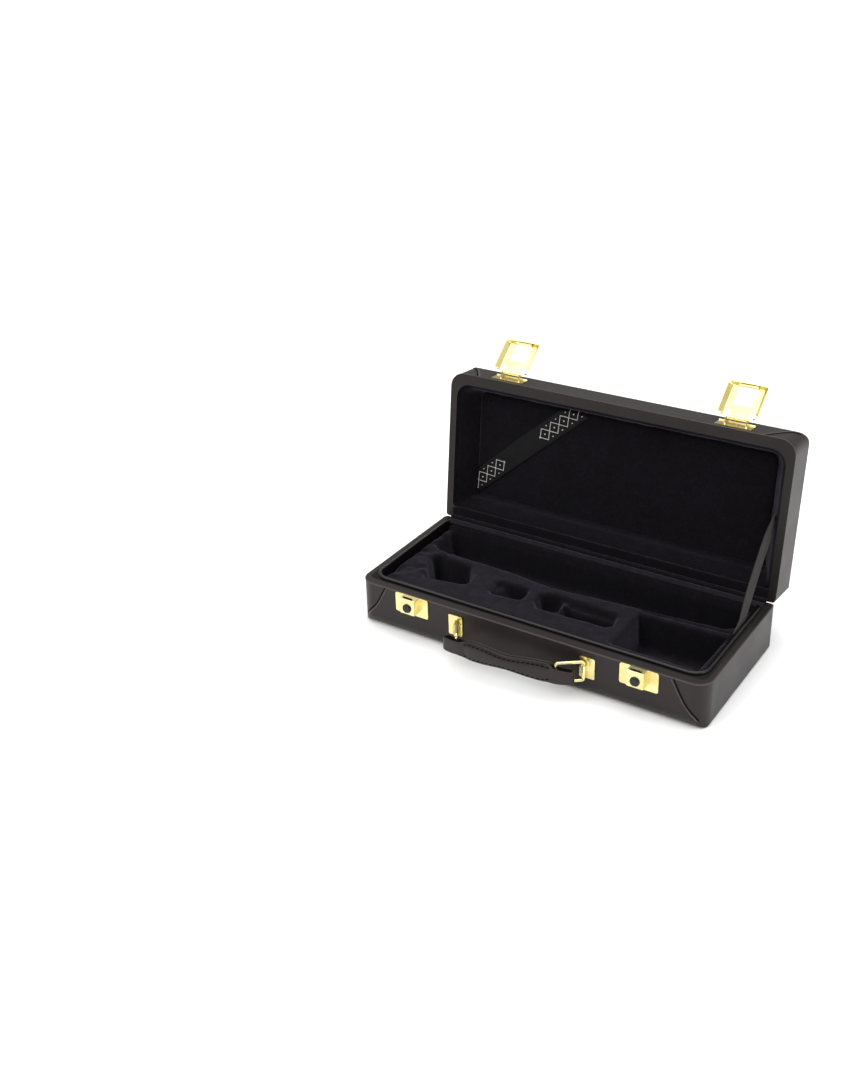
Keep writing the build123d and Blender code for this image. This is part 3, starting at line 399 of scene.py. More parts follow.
def spline(pts, n):
    """Smooth curve through points (Catmull-Rom), n steps per run."""
    out = []
    k = len(pts)
    for i in range(k - 1):
        p0 = pts[max(i - 1, 0)]
        p1, p2 = pts[i], pts[i + 1]
        p3 = pts[min(i + 2, k - 1)]
        for j in range(n):
            t = j / n
            out.append(0.5 * ((2 * p1) + (p2 - p0) * t + (2 * p0 - 5 * p1 + 4 * p2 - p3) * t * t
                              + (3 * p1 - p0 - 3 * p2 + p3) * t * t * t))
    out.append(pts[-1].copy())
    return out


def hermite(tab, x):
    """Value and slope of a smooth curve through the table at x."""
    n = len(tab)
    d = [(tab[i + 1][1] - tab[i][1]) / (tab[i + 1][0] - tab[i][0]) for i in range(n - 1)]
    m = [d[0]] + [(d[i] + d[i + 1]) / 2 for i in range(n - 2)] + [d[-1]]
    i = max(0, min(n - 2, sum(1 for p in tab if p[0] <= x) - 1))
    h = tab[i + 1][0] - tab[i][0]
    t = (x - tab[i][0]) / h
    y = ((2 * t ** 3 - 3 * t * t + 1) * tab[i][1] + (t ** 3 - 2 * t * t + t) * h * m[i]
         + (3 * t * t - 2 * t ** 3) * tab[i + 1][1] + (t ** 3 - t * t) * h * m[i + 1])
    s = ((6 * t * t - 6 * t) * (tab[i][1] - tab[i + 1][1]) / h + (3 * t * t - 4 * t + 1) * m[i]
         + (3 * t * t - 2 * t) * m[i + 1])
    return y, s


def ease(v):
    v = min(1.0, max(0.0, v))
    return v * v * (3 - 2 * v)


def rrect(front, end, r, n=8, rb=None):
    """Points of the case outline set in by front/end, corner radius r (mm)."""
    rb = r if rb is None else rb
    x, y0, y1 = LENGTH / 2 - end, FRONT + front, BACK - front
    pts = []
    for cx, cy, a0, rr in ((x - rb, y1 - rb, 0, rb), (-x + rb, y1 - rb, 90, rb),
                           (-x + r, y0 + r, 180, r), (x - r, y0 + r, 270, r)):
        for i in range(n + 1):
            a = radians(a0 + 90 * i / n)
            pts.append((cx + rr * cos(a), cy + rr * sin(a)))
    return pts


def resample(pts, n):
    """n evenly spaced points round a closed outline."""
    k = len(pts)
    seg = [hypot(pts[(i + 1) % k][0] - pts[i][0], pts[(i + 1) % k][1] - pts[i][1]) for i in range(k)]
    total = sum(seg)
    out, i, acc = [], 0, 0.0
    for j in range(n):
        d = total * j / n
        while acc + seg[i] < d:
            acc += seg[i]
            i += 1
        f = (d - acc) / max(seg[i], 1e-9)
        a, b = pts[i], pts[(i + 1) % k]
        out.append((a[0] + (b[0] - a[0]) * f, a[1] + (b[1] - a[1]) * f))
    return out


# ------------------------------------------------------------- plush insert
def poly_dist(px, py, pts, r=0.0):
    """Signed distance inside a polygon (positive inside); r is not used."""
    n = len(pts)
    d = np.full(px.shape, 1e9)
    inside = np.zeros(px.shape, bool)
    for i in range(n):
        ax, ay = pts[i]
        bx, by = pts[(i + 1) % n]
        ex, ey = bx - ax, by - ay
        t = np.clip(((px - ax) * ex + (py - ay) * ey) / (ex * ex + ey * ey), 0, 1)
        d = np.minimum(d, np.hypot(px - ax - t * ex, py - ay - t * ey))
        cond = ((ay > py) != (by > py)) & (px < (bx - ax) * (py - ay) / (by - ay + 1e-12) + ax)
        inside ^= cond
    return np.where(inside, d, -d)


def smin_corner(px, py, pts, r):
    """Distance to the polygon shrunk by r and grown back, so its corners are round."""
    cx = sum(p[0] for p in pts) / len(pts)
    cy = sum(p[1] for p in pts) / len(pts)
    n = len(pts)
    area2 = sum(pts[i][0] * pts[(i + 1) % n][1] - pts[(i + 1) % n][0] * pts[i][1] for i in range(n))
    s = 1 if area2 > 0 else -1
    q = []
    for i in range(n):
        p0, p1, p2 = pts[i - 1], pts[i], pts[(i + 1) % n]
        e1 = (p1[0] - p0[0], p1[1] - p0[1])
        e2 = (p2[0] - p1[0], p2[1] - p1[1])
        l1, l2 = hypot(*e1), hypot(*e2)
        n1 = (-e1[1] / l1 * s, e1[0] / l1 * s)
        n2 = (-e2[1] / l2 * s, e2[0] / l2 * s)
        k = r / max(0.35, 1 + n1[0] * n2[0] + n1[1] * n2[1])
        q.append((p1[0] + (n1[0] + n2[0]) * k, p1[1] + (n1[1] + n2[1]) * k))
    return poly_dist(px, py, q) + r


def noise2(x, y, scale, seed):
    out = np.empty(x.shape)
    f = out.ravel()
    for i, (a, b) in enumerate(zip(x.ravel(), y.ravel())):
        f[i] = noise.noise(Vector((a * scale, b * scale, seed)))
    return out


TROUGH = [(-157, 27), (-147, 20), (-54, 15.5), (-16, 10.5), (24, 14), (90, 19), (150, 24), (157, 31), (157, 61.8), (-157, 61.8)]
BELL = [(-148, 12), (-142, -8), (-132, -33), (-87.5, -26), (-90, -7), (-101, 7)]
BARREL = [(-66, -3), (-31, -2), (-28.5, -24), (-62, -27.5)]
MOUTHPIECE = [(-19, -4), (-6, 1), (60, -3), (63, -21), (58, -26), (8, -28), (-10, -28.5), (-18, -20)]
ACCESSORY = [(74, 9.5), (74, -49), (156, -49), (158, 12.5)]


def insert_mesh():
    xi, y0, y1 = LENGTH / 2 - 11.75, FRONT + 14.75, BACK - 10.6
    nx, ny = 300, 124
    u = np.linspace(-1, 1, nx)
    v = np.linspace(0, 1, ny)
    U, V = np.meshgrid(u, v)
    Y = y0 + (y1 - y0) * V
    dy = np.clip(11 - (Y - y0), 0, 11)
    X = U * (xi - (11 - np.sqrt(121 - dy * dy)))
    lowf = noise2(X, Y, 0.028, 1.7)
    midf = noise2(X, Y, 0.085, 5.1)
    h = LAND - 0.2 + 0.55 * lowf + 0.28 * midf
    # loose, gathered cloth round the bell pocket and at the left end
    left = np.clip((-112 - X) / 34, 0, 1)
    ang = np.arctan2(Y - 4, X + 118)
    fold = np.sin(ang * 15 + 2.2 * noise2(X, Y, 0.045, 9.3)) * noise2(X, Y, 0.06, 3.3)
    h = h + left * (fold * 1.7 + 0.9 * noise2(X, Y, 0.11, 7.7)) - left * 0.9
    # the cloth dips to the lip and rises to the back ridge
    edge = np.minimum(np.minimum(Y - y0, xi - np.abs(X)), 12)
    h = h - 1.5 * np.exp(-np.clip(edge, 0, 12) / 2.2)
    h = h + (4.25 - 0.2) * np.clip((Y - 62.0) / 2.2, 0, 1) ** 1.5

    def cut(pts, depth, r, soft=1.0, wob=0.5, seed=0.0, dscale=None, ledge=None):
        nonlocal h
        d = smin_corner(X, Y, pts, r)
        d = d + wob * noise2(X, Y, 0.07, 11.0 + seed)
        D = depth if dscale is None else depth * dscale
        k = [-3.2, -1.6, -0.4, 0.5, 1.4, 2.5, 3.9, 6.0, 9.0]
        a = np.interp(d, k, [0, 0.25, 1.0, 2.3, 5.0, 5.0, 5.0, 5.0, 5.0])
        b = np.interp(d, k, [0, 0, 0, 0, 0, 0.55, 0.88, 0.97, 1.0])
        drop = a * soft + b * (D - 5.0 * soft)
        h = h - np.maximum(drop, 0)

    cut(TROUGH, 29, 7, 1.0, 0.45, 0.0)
    cut(BELL, 29, 7, 1.1, 0.9, 2.0, 1 - 0.22 * np.clip((X + 105) / 20, 0, 1))
    # the barrel's pocket: a soft ramp at the left end, then the well
    cut(BARREL, 23, 6, 1.0, 0.5, 4.0, 0.26 + 0.74 * np.clip((X + 61 - 0.25 * (Y + 15)) / 15, 0, 1) ** 1.2)
    # the mouthpiece's pocket: a bowl, then a long slot, with a ledge along the back
    ms = 0.42 + 0.58 * np.clip(1 - np.hypot(X + 6, Y + 13) / 15, 0, 1) ** 0.5
    slot = np.clip((X - 4) / 9, 0, 1)
    back = np.clip((Y + 9.5 + 0.03 * (X - 20)) / 2.5, 0, 1)
    ms = np.maximum(ms * (1 - slot), slot * (1 - 0.66 * back)) + 0.0
    ridge = np.exp(-((X - 4.5) / 3.2) ** 2) * 0.30
    ms = np.clip(ms - ridge, 0.2, 1)
    cut(MOUTHPIECE, 23, 6, 1.0, 0.35, 6.0, ms)
    cut(ACCESSORY, 33, 2.5, 0.55, 0.15, 8.0)
    # twin stitched ridges on the wall between the trough and the box
    wall = np.clip((X - 72) / 8, 0, 1) * np.clip((157 - X) / 4, 0, 1)
    mid = 14.4 + (X - 75) * 0.052
    h = h - wall * 2.2 * np.exp(-((Y - mid) / 1.1) ** 2)
    h = np.maximum(h, 5.0)
    # seat for the webbing's lower end
    seat = (X > 158.5) & (Y > 1) & (Y < 41)
    h = np.where(seat, np.minimum(h, 35.5), h)
    verts = [(x * MM, y * MM, z * MM) for x, y, z in zip(X.ravel(), Y.ravel(), h.ravel())]
    faces = [(j * nx + i, j * nx + i + 1, (j + 1) * nx + i + 1, (j + 1) * nx + i)
             for j in range(ny - 1) for i in range(nx - 1)]
    rim = [i for i in range(nx)] + [(j + 1) * nx - 1 for j in range(1, ny)] + \
          [(ny - 1) * nx + i for i in range(nx - 2, -1, -1)] + [j * nx for j in range(ny - 2, 0, -1)]
    base = len(verts)
    for i in rim:
        verts.append((verts[i][0], verts[i][1], 4.6 * MM))
    k = len(rim)
    for i in range(k):
        j = (i + 1) % k
        faces.append((rim[j], rim[i], base + i, base + j))
    faces.append(tuple(base + i for i in range(k)))
    ob = mesh_obj("plush_insert", verts, faces, M["plush"])
    fix_normals(ob)
    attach(ob, "base")
    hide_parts("base_insert")
    return ob


insert_mesh()


# -------------------------------------------------------------- lid lining
def lining_mesh():
    n = 260
    prof = [(10.15, 7.15, 14.9, 46.7), (11.0, 8.0, 14.0, 46.6), (11.35, 8.35, 13.6, 46.9), (11.5, 8.5, 13.4, 48.0),
            (12.1, 9.0, 13.0, 48.9), (13.6, 10.3, 12.0, 49.6), (15.0, 11.6, 11.4, 51.5), (16.2, 13.0, 10.8, 54.5),
            (17.4, 14.6, 10.2, 58.0), (18.6, 16.4, 9.5, 61.5), (19.8, 18.2, 8.8, 64.6), (20.9, 19.9, 8.2, 67.2),
            (21.8, 21.0, 7.4, 69.4), (22.0, 21.2, 7.2, 72.0)]
    verts, faces = [], []
    for k, (f, e, r, z) in enumerate(prof):
        ring = resample(rrect(f, e, r, 8, max(r - 8, 1.2)), n)
        for (x, y) in ring:
            p = Vector((x * 0.02, y * 0.02, z * 0.03))
            wob = noise.noise(p * 2.3) * 0.5 + noise.noise(p * 6.0) * 0.35
            kk = 0.0 if k < 3 else 1.0
            # inward direction, roughly towards the middle line
            ix = -1 if x > LENGTH / 2 - e - r else (1 if x < -LENGTH / 2 + e + r else 0)
            iy = 1 if y < FRONT + f + r else (-1 if y > BACK - f - r else 0)
            back = y > 60 and abs(x) < 158.5
            if k < 5:
                zz = z - 0.85 if (back and k < 3) else z
                zz = zz if back else max(z, 48.12 + 0.14 * k)
            else:
                zz = z
            # the padding swells along the hinge side
            sw = 1.7 * math.exp(-((z - 59.5) / 4.2) ** 2) if y > BACK - f - r - 2 else 0.0
            verts.append(lidw(x + ix * wob * kk, y + iy * wob * kk - sw, zz))
        # loops of one ring start at the same corner, so they line up
    outer = [(10.15, 7.15, 14.9, 72.0)]
    for (f, e, r, z) in outer:
        for (x, y) in resample(rrect(f, e, r, 8, 5.9), n):
            verts.append(lidw(x, y, z))
    rings = len(prof) + 1
    for k in range(rings):
        k2 = (k + 1) % rings
        for i in range(n):
            j = (i + 1) % n
            faces.append((k * n + i, k * n + j, k2 * n + j, k2 * n + i))
    ob = mesh_obj("lid_lining_plush", verts, faces, M["plush_lid"])
    fix_normals(ob)
    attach(ob, "lid")
    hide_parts("lid_lining")
    return ob


lining_mesh()


def pad_height(x, y):
    """Face of the pad in closed coordinates: crowned, a little uneven."""
    hx, hy = LENGTH / 2 - 20.2, DEPTH / 2 - 20.7
    ex = max(0.0, 1 - (abs(x) / hx) ** 6)
    ey = max(0.0, 1 - (abs(y) / hy) ** 4)
    crown = 1.0 * (ex * ey) ** 0.5
    n = noise.noise(Vector((x * 0.021, y * 0.021, 2.0))) * 0.35 + noise.noise(Vector((x * 0.06, y * 0.06, 8.0))) * 0.18
    return PAD_Z + 0.9 - crown * 1.3 - n * (ex * ey)


def pad_mesh():
    hx, hy = LENGTH / 2 - 20.2, DEPTH / 2 - 20.7
    nx, ny = 190, 76
    verts, faces = [], []
    for j in range(ny):
        for i in range(nx):
            u, v = -1 + 2 * i / (nx - 1), -1 + 2 * j / (ny - 1)
            # squircle plan with corners of about 8 mm
            x, y = u * hx, v * hy
            cx, cy = abs(x) - (hx - 8), abs(y) - (hy - 8)
            if cx > 0 and cy > 0:
                m = max(cx, cy)
                L = hypot(cx, cy)
                x = math.copysign(hx - 8 + cx * m / L, x)
                y = math.copysign(hy - 8 + cy * m / L, y)
            dx = min(hx - abs(x), 6.0)
            dyy = min(hy - abs(y), 6.0)
            if cx > 0 and cy > 0:
                dd = 8 - hypot(abs(x) - (hx - 8), abs(y) - (hy - 8))
            else:
                dd = min(dx, dyy)
            dd = max(0.0, min(dd, 5.0))
            roll = 4.2 * (1 - sqrt(max(0.0, 1 - ((5.0 - dd) / 5.0) ** 2)))
            verts.append(lidw(x, y, pad_height(x, y) + roll))
    for j in range(ny - 1):
        for i in range(nx - 1):
            faces.append((j * nx + i, j * nx + i + 1, (j + 1) * nx + i + 1, (j + 1) * nx + i))
    rim = [i for i in range(nx)] + [(j + 1) * nx - 1 for j in range(1, ny)] + \
          [(ny - 1) * nx + i for i in range(nx - 2, -1, -1)] + [j * nx for j in range(ny - 2, 0, -1)]
    base = len(verts)
    a = radians(THETA)
    ax = Vector((0, sin(a), cos(a)))
    for i in rim:
        v = Vector(verts[i])
        z = HZ + ((v.y / MM - HY) * sin(a) + (v.z / MM - HZ) * cos(a))
        verts.append(v + ax * ((78.4 - z) * MM))
    k = len(rim)
    for i in range(k):
        j = (i + 1) % k
        faces.append((rim[i], rim[j], base + j, base + i))
    faces.append(tuple(base + i for i in range(k)))
    ob = mesh_obj("lid_pad_plush", verts, faces, M["plush_lid"])
    fix_normals(ob)
    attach(ob, "lid")
    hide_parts("lid_pad")
    return ob


pad = pad_mesh()

# ------------------------------------------------------------ satin band
RU = Vector((95 / 126.8, -84 / 126.8))
RN = Vector((84 / 126.8, 95 / 126.8))
RC = Vector((-102.5, -4.0))
RHALF, RWID = 83.0, 23.0


def ribbon_mat():
    """Black satin with a woven pale ornament of diamonds and dots near both ends."""
    m = Nodes("satin_band", Roughness=0.42, Specular_IOR_Level=0.16)
    m.set("Sheen_Weight", 0.03)
    m.set("Sheen_Roughness", 0.3)
    uvn = m.n("ShaderNodeUVMap", uv_map="UVMap").outputs[0]
    sep = m.n("ShaderNodeSeparateXYZ")
    m.link(uvn, sep.inputs[0])
    s, t = sep.outputs[0], sep.outputs[1]          # mm along, mm across from the middle
    at = m.math('ABSOLUTE', t)

    def step(a, edge, soft=0.25):
        v = m.math('SUBTRACT', a, edge)
        return m.math('DIVIDE', v, soft, True)

    def inv(v):
        return m.math('SUBTRACT', 1.0, v, True)

    # open diamond trellis, 13 mm, with a small dot in each diamond
    period = 13.0
    a1 = m.math('PINGPONG', m.math('ADD', s, t), period / 2)
    a2 = m.math('PINGPONG', m.math('SUBTRACT', s, t), period / 2)
    line1 = inv(step(a1, 0.30, 0.2))
    line2 = inv(step(a2, 0.30, 0.2))
    trel = m.math('MAXIMUM', line1, line2)
    b1_ = m.math('SUBTRACT', a1, period / 2)
    b2_ = m.math('SUBTRACT', a2, period / 2)
    rr = m.math('SQRT', m.math('ADD', m.math('MULTIPLY', b1_, b1_), m.math('MULTIPLY', b2_, b2_)))
    body = m.math('MAXIMUM', trel, m.math('MULTIPLY', inv(step(rr, 1.0, 0.2)), 0.9))
    body = m.math('MULTIPLY', body, inv(step(at, 6.6, 0.2)))
    # only near the ends, with a pointed start
    asn = m.math('ABSOLUTE', s)
    tip = m.math('ADD', 24.0, m.math('MULTIPLY', at, 0.9))
    zone = step(asn, tip, 0.4)
    pat = m.math('MULTIPLY', body, zone)
    # thread breakup
    c = m.coord()
    th = m.noise(m.mapped(c, (1, 1, 1)), 2400, 2, 0.6)
    pat = m.math('MULTIPLY', pat, m.ramp(th, [(0.25, 0.55), (0.6, 1.0)]))
    weave = m.math('SINE', m.math('MULTIPLY', t, 26.0))
    basec = m.mix(m.noise(c, 90, 3), hexc("050506"), hexc("0b0b0d"))
    m.to("Base Color", m.mix(m.math('MULTIPLY', pat, 0.96), basec, hexc("e2dedc")))
    m.to("Roughness", m.ramp(m.noise(c, 240, 3), [(0.3, 0.38), (0.7, 0.50)]))
    b1 = m.bump(weave, 0.00004, 0.4)
    m.to("Normal", m.bump(pat, 0.00015, 0.6, b1))
    return m.m


def ribbon_mesh():
    nu, nv = 150, 14
    verts, uvs, faces = [], [], []
    top, bot = [], []
    hx, hy = LENGTH / 2 - 20.9, DEPTH / 2 - 21.4
    for i in range(nu):
        for j in range(nv):
            s = -RHALF + 2 * RHALF * i / (nu - 1)
            t = -RWID / 2 + RWID * j / (nv - 1)
            p = RC + RU * s + RN * t
            x, y = p.x, p.y
            # ends turn down between the pad and the lining
            ox, oy = max(0.0, -x - hx), max(0.0, -y - hy)
            over = max(ox, oy)
            x, y = max(x, -hx), max(y, -hy)
            dd = max(0.0, min(min(hx + 0.7 - abs(x), hy + 0.7 - abs(y)), 5.0))
            roll = 4.2 * (1 - sqrt(max(0.0, 1 - ((5.0 - dd) / 5.0) ** 2)))
            z = pad_height(x, y) + roll + 5.2 * (1 - math.exp(-over / 6.0))
            wave = 0.10 * sin(s * 0.21 + 1.3) * (abs(t) / 11.5) ** 2
            top.append((lidw(x, y, z - 0.42 - wave), (s, t)))
            bot.append((lidw(x, y, z - 0.12), (s, t)))
    for p, uv in top + bot:
        verts.append(p)
        uvs.append(uv)
    N = nu * nv
    for i in range(nu - 1):
        for j in range(nv - 1):
            a, b, c, d = i * nv + j, (i + 1) * nv + j, (i + 1) * nv + j + 1, i * nv + j + 1
            faces.append((a, b, c, d))
            faces.append((N + d, N + c, N + b, N + a))
    for i in range(nu - 1):
        a, b = i * nv, (i + 1) * nv
        faces.append((a, N + a, N + b, b))
        a, b = i * nv + nv - 1, (i + 1) * nv + nv - 1
        faces.append((b, N + b, N + a, a))
    for j in range(nv - 1):
        faces.append((j, j + 1, N + j + 1, N + j))
        a = (nu - 1) * nv + j
        faces.append((a + 1, a, N + a, N + a + 1))
    ob = mesh_obj("satin_band", verts, faces, ribbon_mat(), True, uvs)
    fix_normals(ob)
    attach(ob, "lid")
    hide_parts("ribbon")
    return ob


ribbon_mesh()


# ------------------------------------------------- plush strip over the hinge
def back_strip_mesh():
    h, mid, r0 = 0.3, 0.42, 2.66
    yb = BACK - 10.0 - 1.2
    line = []

    def up(y, z, ny, nz):
        line.append((y, z, ny, nz))
    # base side, rolled down behind the insert's ridge, then across the rim
    up(yb - 0.5, 43.75, -1, 0)
    up(yb - 0.35, 44.2, -0.87, 0.5)
    for i in range(8):
        y = yb + 0.1 + (BACK - 10.0 + 7.9 - yb - 0.1) * i / 7
        up(y, 44.58, 0, 1)
    a0, a1 = 180 + 14, 180 - 14 - THETA
    for i in range(1, 14):
        a = radians(a0 + (a1 - a0) * i / 14)
        up(HY + r0 * cos(a), HZ + r0 * sin(a), cos(a), sin(a))
    a = radians(THETA)
    for i in range(10):
        y = (BACK - 10.0 + 7.9) - (BACK - 10.0 + 7.9 - yb) * min(i, 7) / 7
        z = HZ + 0.42
        if i > 7:
            y, z = yb - 0.35 - 0.15 * (i - 8), HZ + 0.80 + 0.45 * (i - 8)
        yy = HY + (y - HY) * cos(a) + (z - HZ) * sin(a)
        zz = HZ - (y - HY) * sin(a) + (z - HZ) * cos(a)
        # the face turned to the inside of the case
        up(yy, zz, -sin(a), -cos(a))
    nx = 170
    verts, faces = [], []
    k = len(line)
    for s in (1, -1):
        for i in range(nx):
            x = -167.9 + 335.8 * i / (nx - 1)
            for (y, z, ny, nz) in line:
                wv = 0.16 * noise.noise(Vector((x * 0.05, y * 0.2, z * 0.2))) if s > 0 else 0.0
                d = s * h + wv
                verts.append((x * MM, (y + ny * d) * MM, (z + nz * d) * MM))
    N = nx * k
    for i in range(nx - 1):
        for j in range(k - 1):
            a_, b_, c_, d_ = i * k + j, (i + 1) * k + j, (i + 1) * k + j + 1, i * k + j + 1
            faces.append((a_, b_, c_, d_))
            faces.append((N + d_, N + c_, N + b_, N + a_))
    for i in range(nx - 1):
        for j in (0, k - 1):
            a_, b_ = i * k + j, (i + 1) * k + j
            faces.append((a_, N + a_, N + b_, b_))
    for j in range(k - 1):
        for i in (0, nx - 1):
            a_ = i * k + j
            faces.append((a_, a_ + 1, N + a_ + 1, N + a_))
    ob = mesh_obj("plush_hinge_strip", verts, faces, M["plush"])
    fix_normals(ob)
    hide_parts("back_strip")
    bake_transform(ob)
    return ob


back_strip_mesh()


# ----------------------------------------------------------- webbing lid stay
def strap_mat():
    """Black-grey twill tape with diagonal ribs."""
    m = Nodes("twill_tape", Roughness=0.80, Specular_IOR_Level=0.12)
    m.set("Sheen_Weight", 0.10)
    m.set("Sheen_Roughness", 0.45)
    uvn = m.n("ShaderNodeUVMap", uv_map="UVMap").outputs[0]
    sep = m.n("ShaderNodeSeparateXYZ")
    m.link(uvn, sep.inputs[0])
    s, t = sep.outputs[0], sep.outputs[1]
    rib = m.math('SINE', m.math('MULTIPLY', m.math('ADD', s, m.math('ABSOLUTE', t)), 7.2))
    yarn = m.math('SINE', m.math('MULTIPLY', t, 13.0))
    hgt = m.math('ADD', m.math('MULTIPLY', rib, 0.7), m.math('MULTIPLY', yarn, 0.3))
    f = m.math('MULTIPLY', m.math('ADD', hgt, 1.0), 0.5)
    c = m.coord()
    base = m.mix(f, hexc("0f0e0e"), hexc("4c4845"))
    m.to("Base Color", m.mix(m.ramp(m.noise(c, 1500, 2), [(0.3, 0.25), (0.7, 0.0)]), base, hexc("101010")))
    m.to("Normal", m.bump(hgt, 0.00022, 0.8))
    return m.m


def strap_mesh():
    a = radians(THETA)
    top = (HY + (-1.5 - HY) * cos(a) + (50.6 - HZ) * sin(a), HZ - (-1.5 - HY) * sin(a) + (50.6 - HZ) * cos(a))
    path = [Vector((163.0, top[0] + 2.2, top[1] + 2.7)), Vector((162.95, top[0], top[1])),
            Vector((162.85, 76.5, 105.6)), Vector((162.8, 60.2, 87.0)),
            Vector((162.8, 44.6, 68.2)), Vector((162.85, 31.6, 52.6)),
            Vector((162.9, 21.5, 47.0)), Vector((162.9, 9.6, 42.9))]
    pts = spline(path, 12)
    W, T = 10.6, 1.0
    turn = ((0, -6), (0.06, 5), (0.14, 16), (0.4, 19), (0.6, 19), (0.76, 14), (0.86, 5), (1.0, 0))
    shift = ((0, 0), (0.06, -0.3), (0.16, -0.8), (0.6, -0.9), (0.76, -0.5), (0.86, -0.15), (1.0, 0))
    total = sum((pts[i + 1] - pts[i]).length for i in range(len(pts) - 1))
    prof = []
    for k in range(20):
        an = 2 * pi * k / 20
        cx, cy = cos(an), sin(an)
        prof.append((math.copysign(abs(cx) ** 0.35, cx) * T / 2, math.copysign(abs(cy) ** 0.55, cy) * W / 2))
    verts, uvs, faces = [], [], []
    d = 0.0
    for i, p in enumerate(pts):
        q0, q1 = pts[max(i - 1, 0)], pts[min(i + 1, len(pts) - 1)]
        tg = (q1 - q0)
        tg.x = 0
        tg.normalize()
        wd = Vector((0, -tg.z, tg.y))
        if i:
            d += (p - pts[i - 1]).length
        al = radians(hermite(turn, min(d / total, 0.9999))[0])
        sx = hermite(shift, min(d / total, 0.9999))[0]
        narrow = 1 - 0.15 * ease((d / total - 0.8) / 0.1)
        nn = Vector((1, 0, 0)) * cos(al) - wd * sin(al)
        ww = wd * cos(al) + Vector((1, 0, 0)) * sin(al)
        for (ox, ow) in prof:
            v = Vector((p.x + sx, p.y, p.z)) + nn * ox + ww * ow * narrow
            verts.append(v * MM)
            uvs.append((d, ow))
    n = len(prof)
    for i in range(len(pts) - 1):
        for j in range(n):
            j2 = (j + 1) % n
            faces.append((i * n + j, i * n + j2, (i + 1) * n + j2, (i + 1) * n + j))
    faces.append(tuple(reversed(range(n))))
    faces.append(tuple(range((len(pts) - 1) * n, len(pts) * n)))
    ob = mesh_obj("webbing_stay", verts, faces, strap_mat(), True, uvs)
    fix_normals(ob)
    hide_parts("stay_strap")
    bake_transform(ob)
    return ob


strap_mesh()


# --------------------------------------------------------- sewn leather grip
SPINE = ((-68, -98.4), (-58, -99.7), (-50, -100.3), (-25, -100.6), (0, -100.2), (20, -98.0), (40, -94.9),
         (56, -92.4), (66, -90.0))
SIDE = ((-70, 6.0), (-60, 6.0), (-50, 6.15), (-46, 6.8), (-38, 9.3), (-26, 9.4), (0, 7.25), (24, 9.2),
        (34, 9.4), (41, 7.3), (44.5, 6.3), (52, 6.0), (66, 6.0))
GRIP_Z = 24.6
GX0, GX1 = -61.4, 57.8


def grip_shape(x):
    """Half height, inner offset, edge offset and crown offset of one leather layer."""
    H = hermite(SIDE, x)[0]
    t = min(ease((x + 46.9) / 4.4), ease((44.9 - x) / 4.4))
    di = 2.65 + (0.10 - 2.65) * t
    b = min(ease((x + 47.5) / 9.0), ease((45.5 - x) / 9.0))
    de = 4.2 + (2.45 - 4.2) * b
    dm = 4.33 - 0.75 * math.exp(-((x + 41.5) / 4.0) ** 2) - 0.75 * math.exp(-((x - 40.0) / 4.0) ** 2)
    return H, di, de, max(dm, de + 0.05)


def grip_face(x, z):
    """Offset of the outer face at height z from the middle."""
    H, di, de, dm = grip_shape(x)
    k = min(1.0, abs(z) / max(H - 0.5, 0.1))
    r = de + (dm - de) * (1 - k ** 2.6) ** 0.85
    body = min(ease((x + 45) / 4), ease((43 - x) / 4))
    return r - 0.22 * body * math.exp(-((abs(z) - (H - 2.7)) / 0.6) ** 2)


def grip_z(x, phi, z):
    """Height on the layer: the outer one reaches lower round the ring loops."""
    H = hermite(SIDE, x)[0]
    k = (min(1.0, abs(z) / H)) ** 2
    outer = (1 + cos(phi)) / 2
    if z < 0:
        return z - k * outer * (2.4 * math.exp(-((x - 46.5) / 9.5) ** 2) + 1.4 * math.exp(-((x + 56) / 9) ** 2))
    return z + k * 1.7 * math.exp(-((x - 39.5) / 3.4) ** 2)


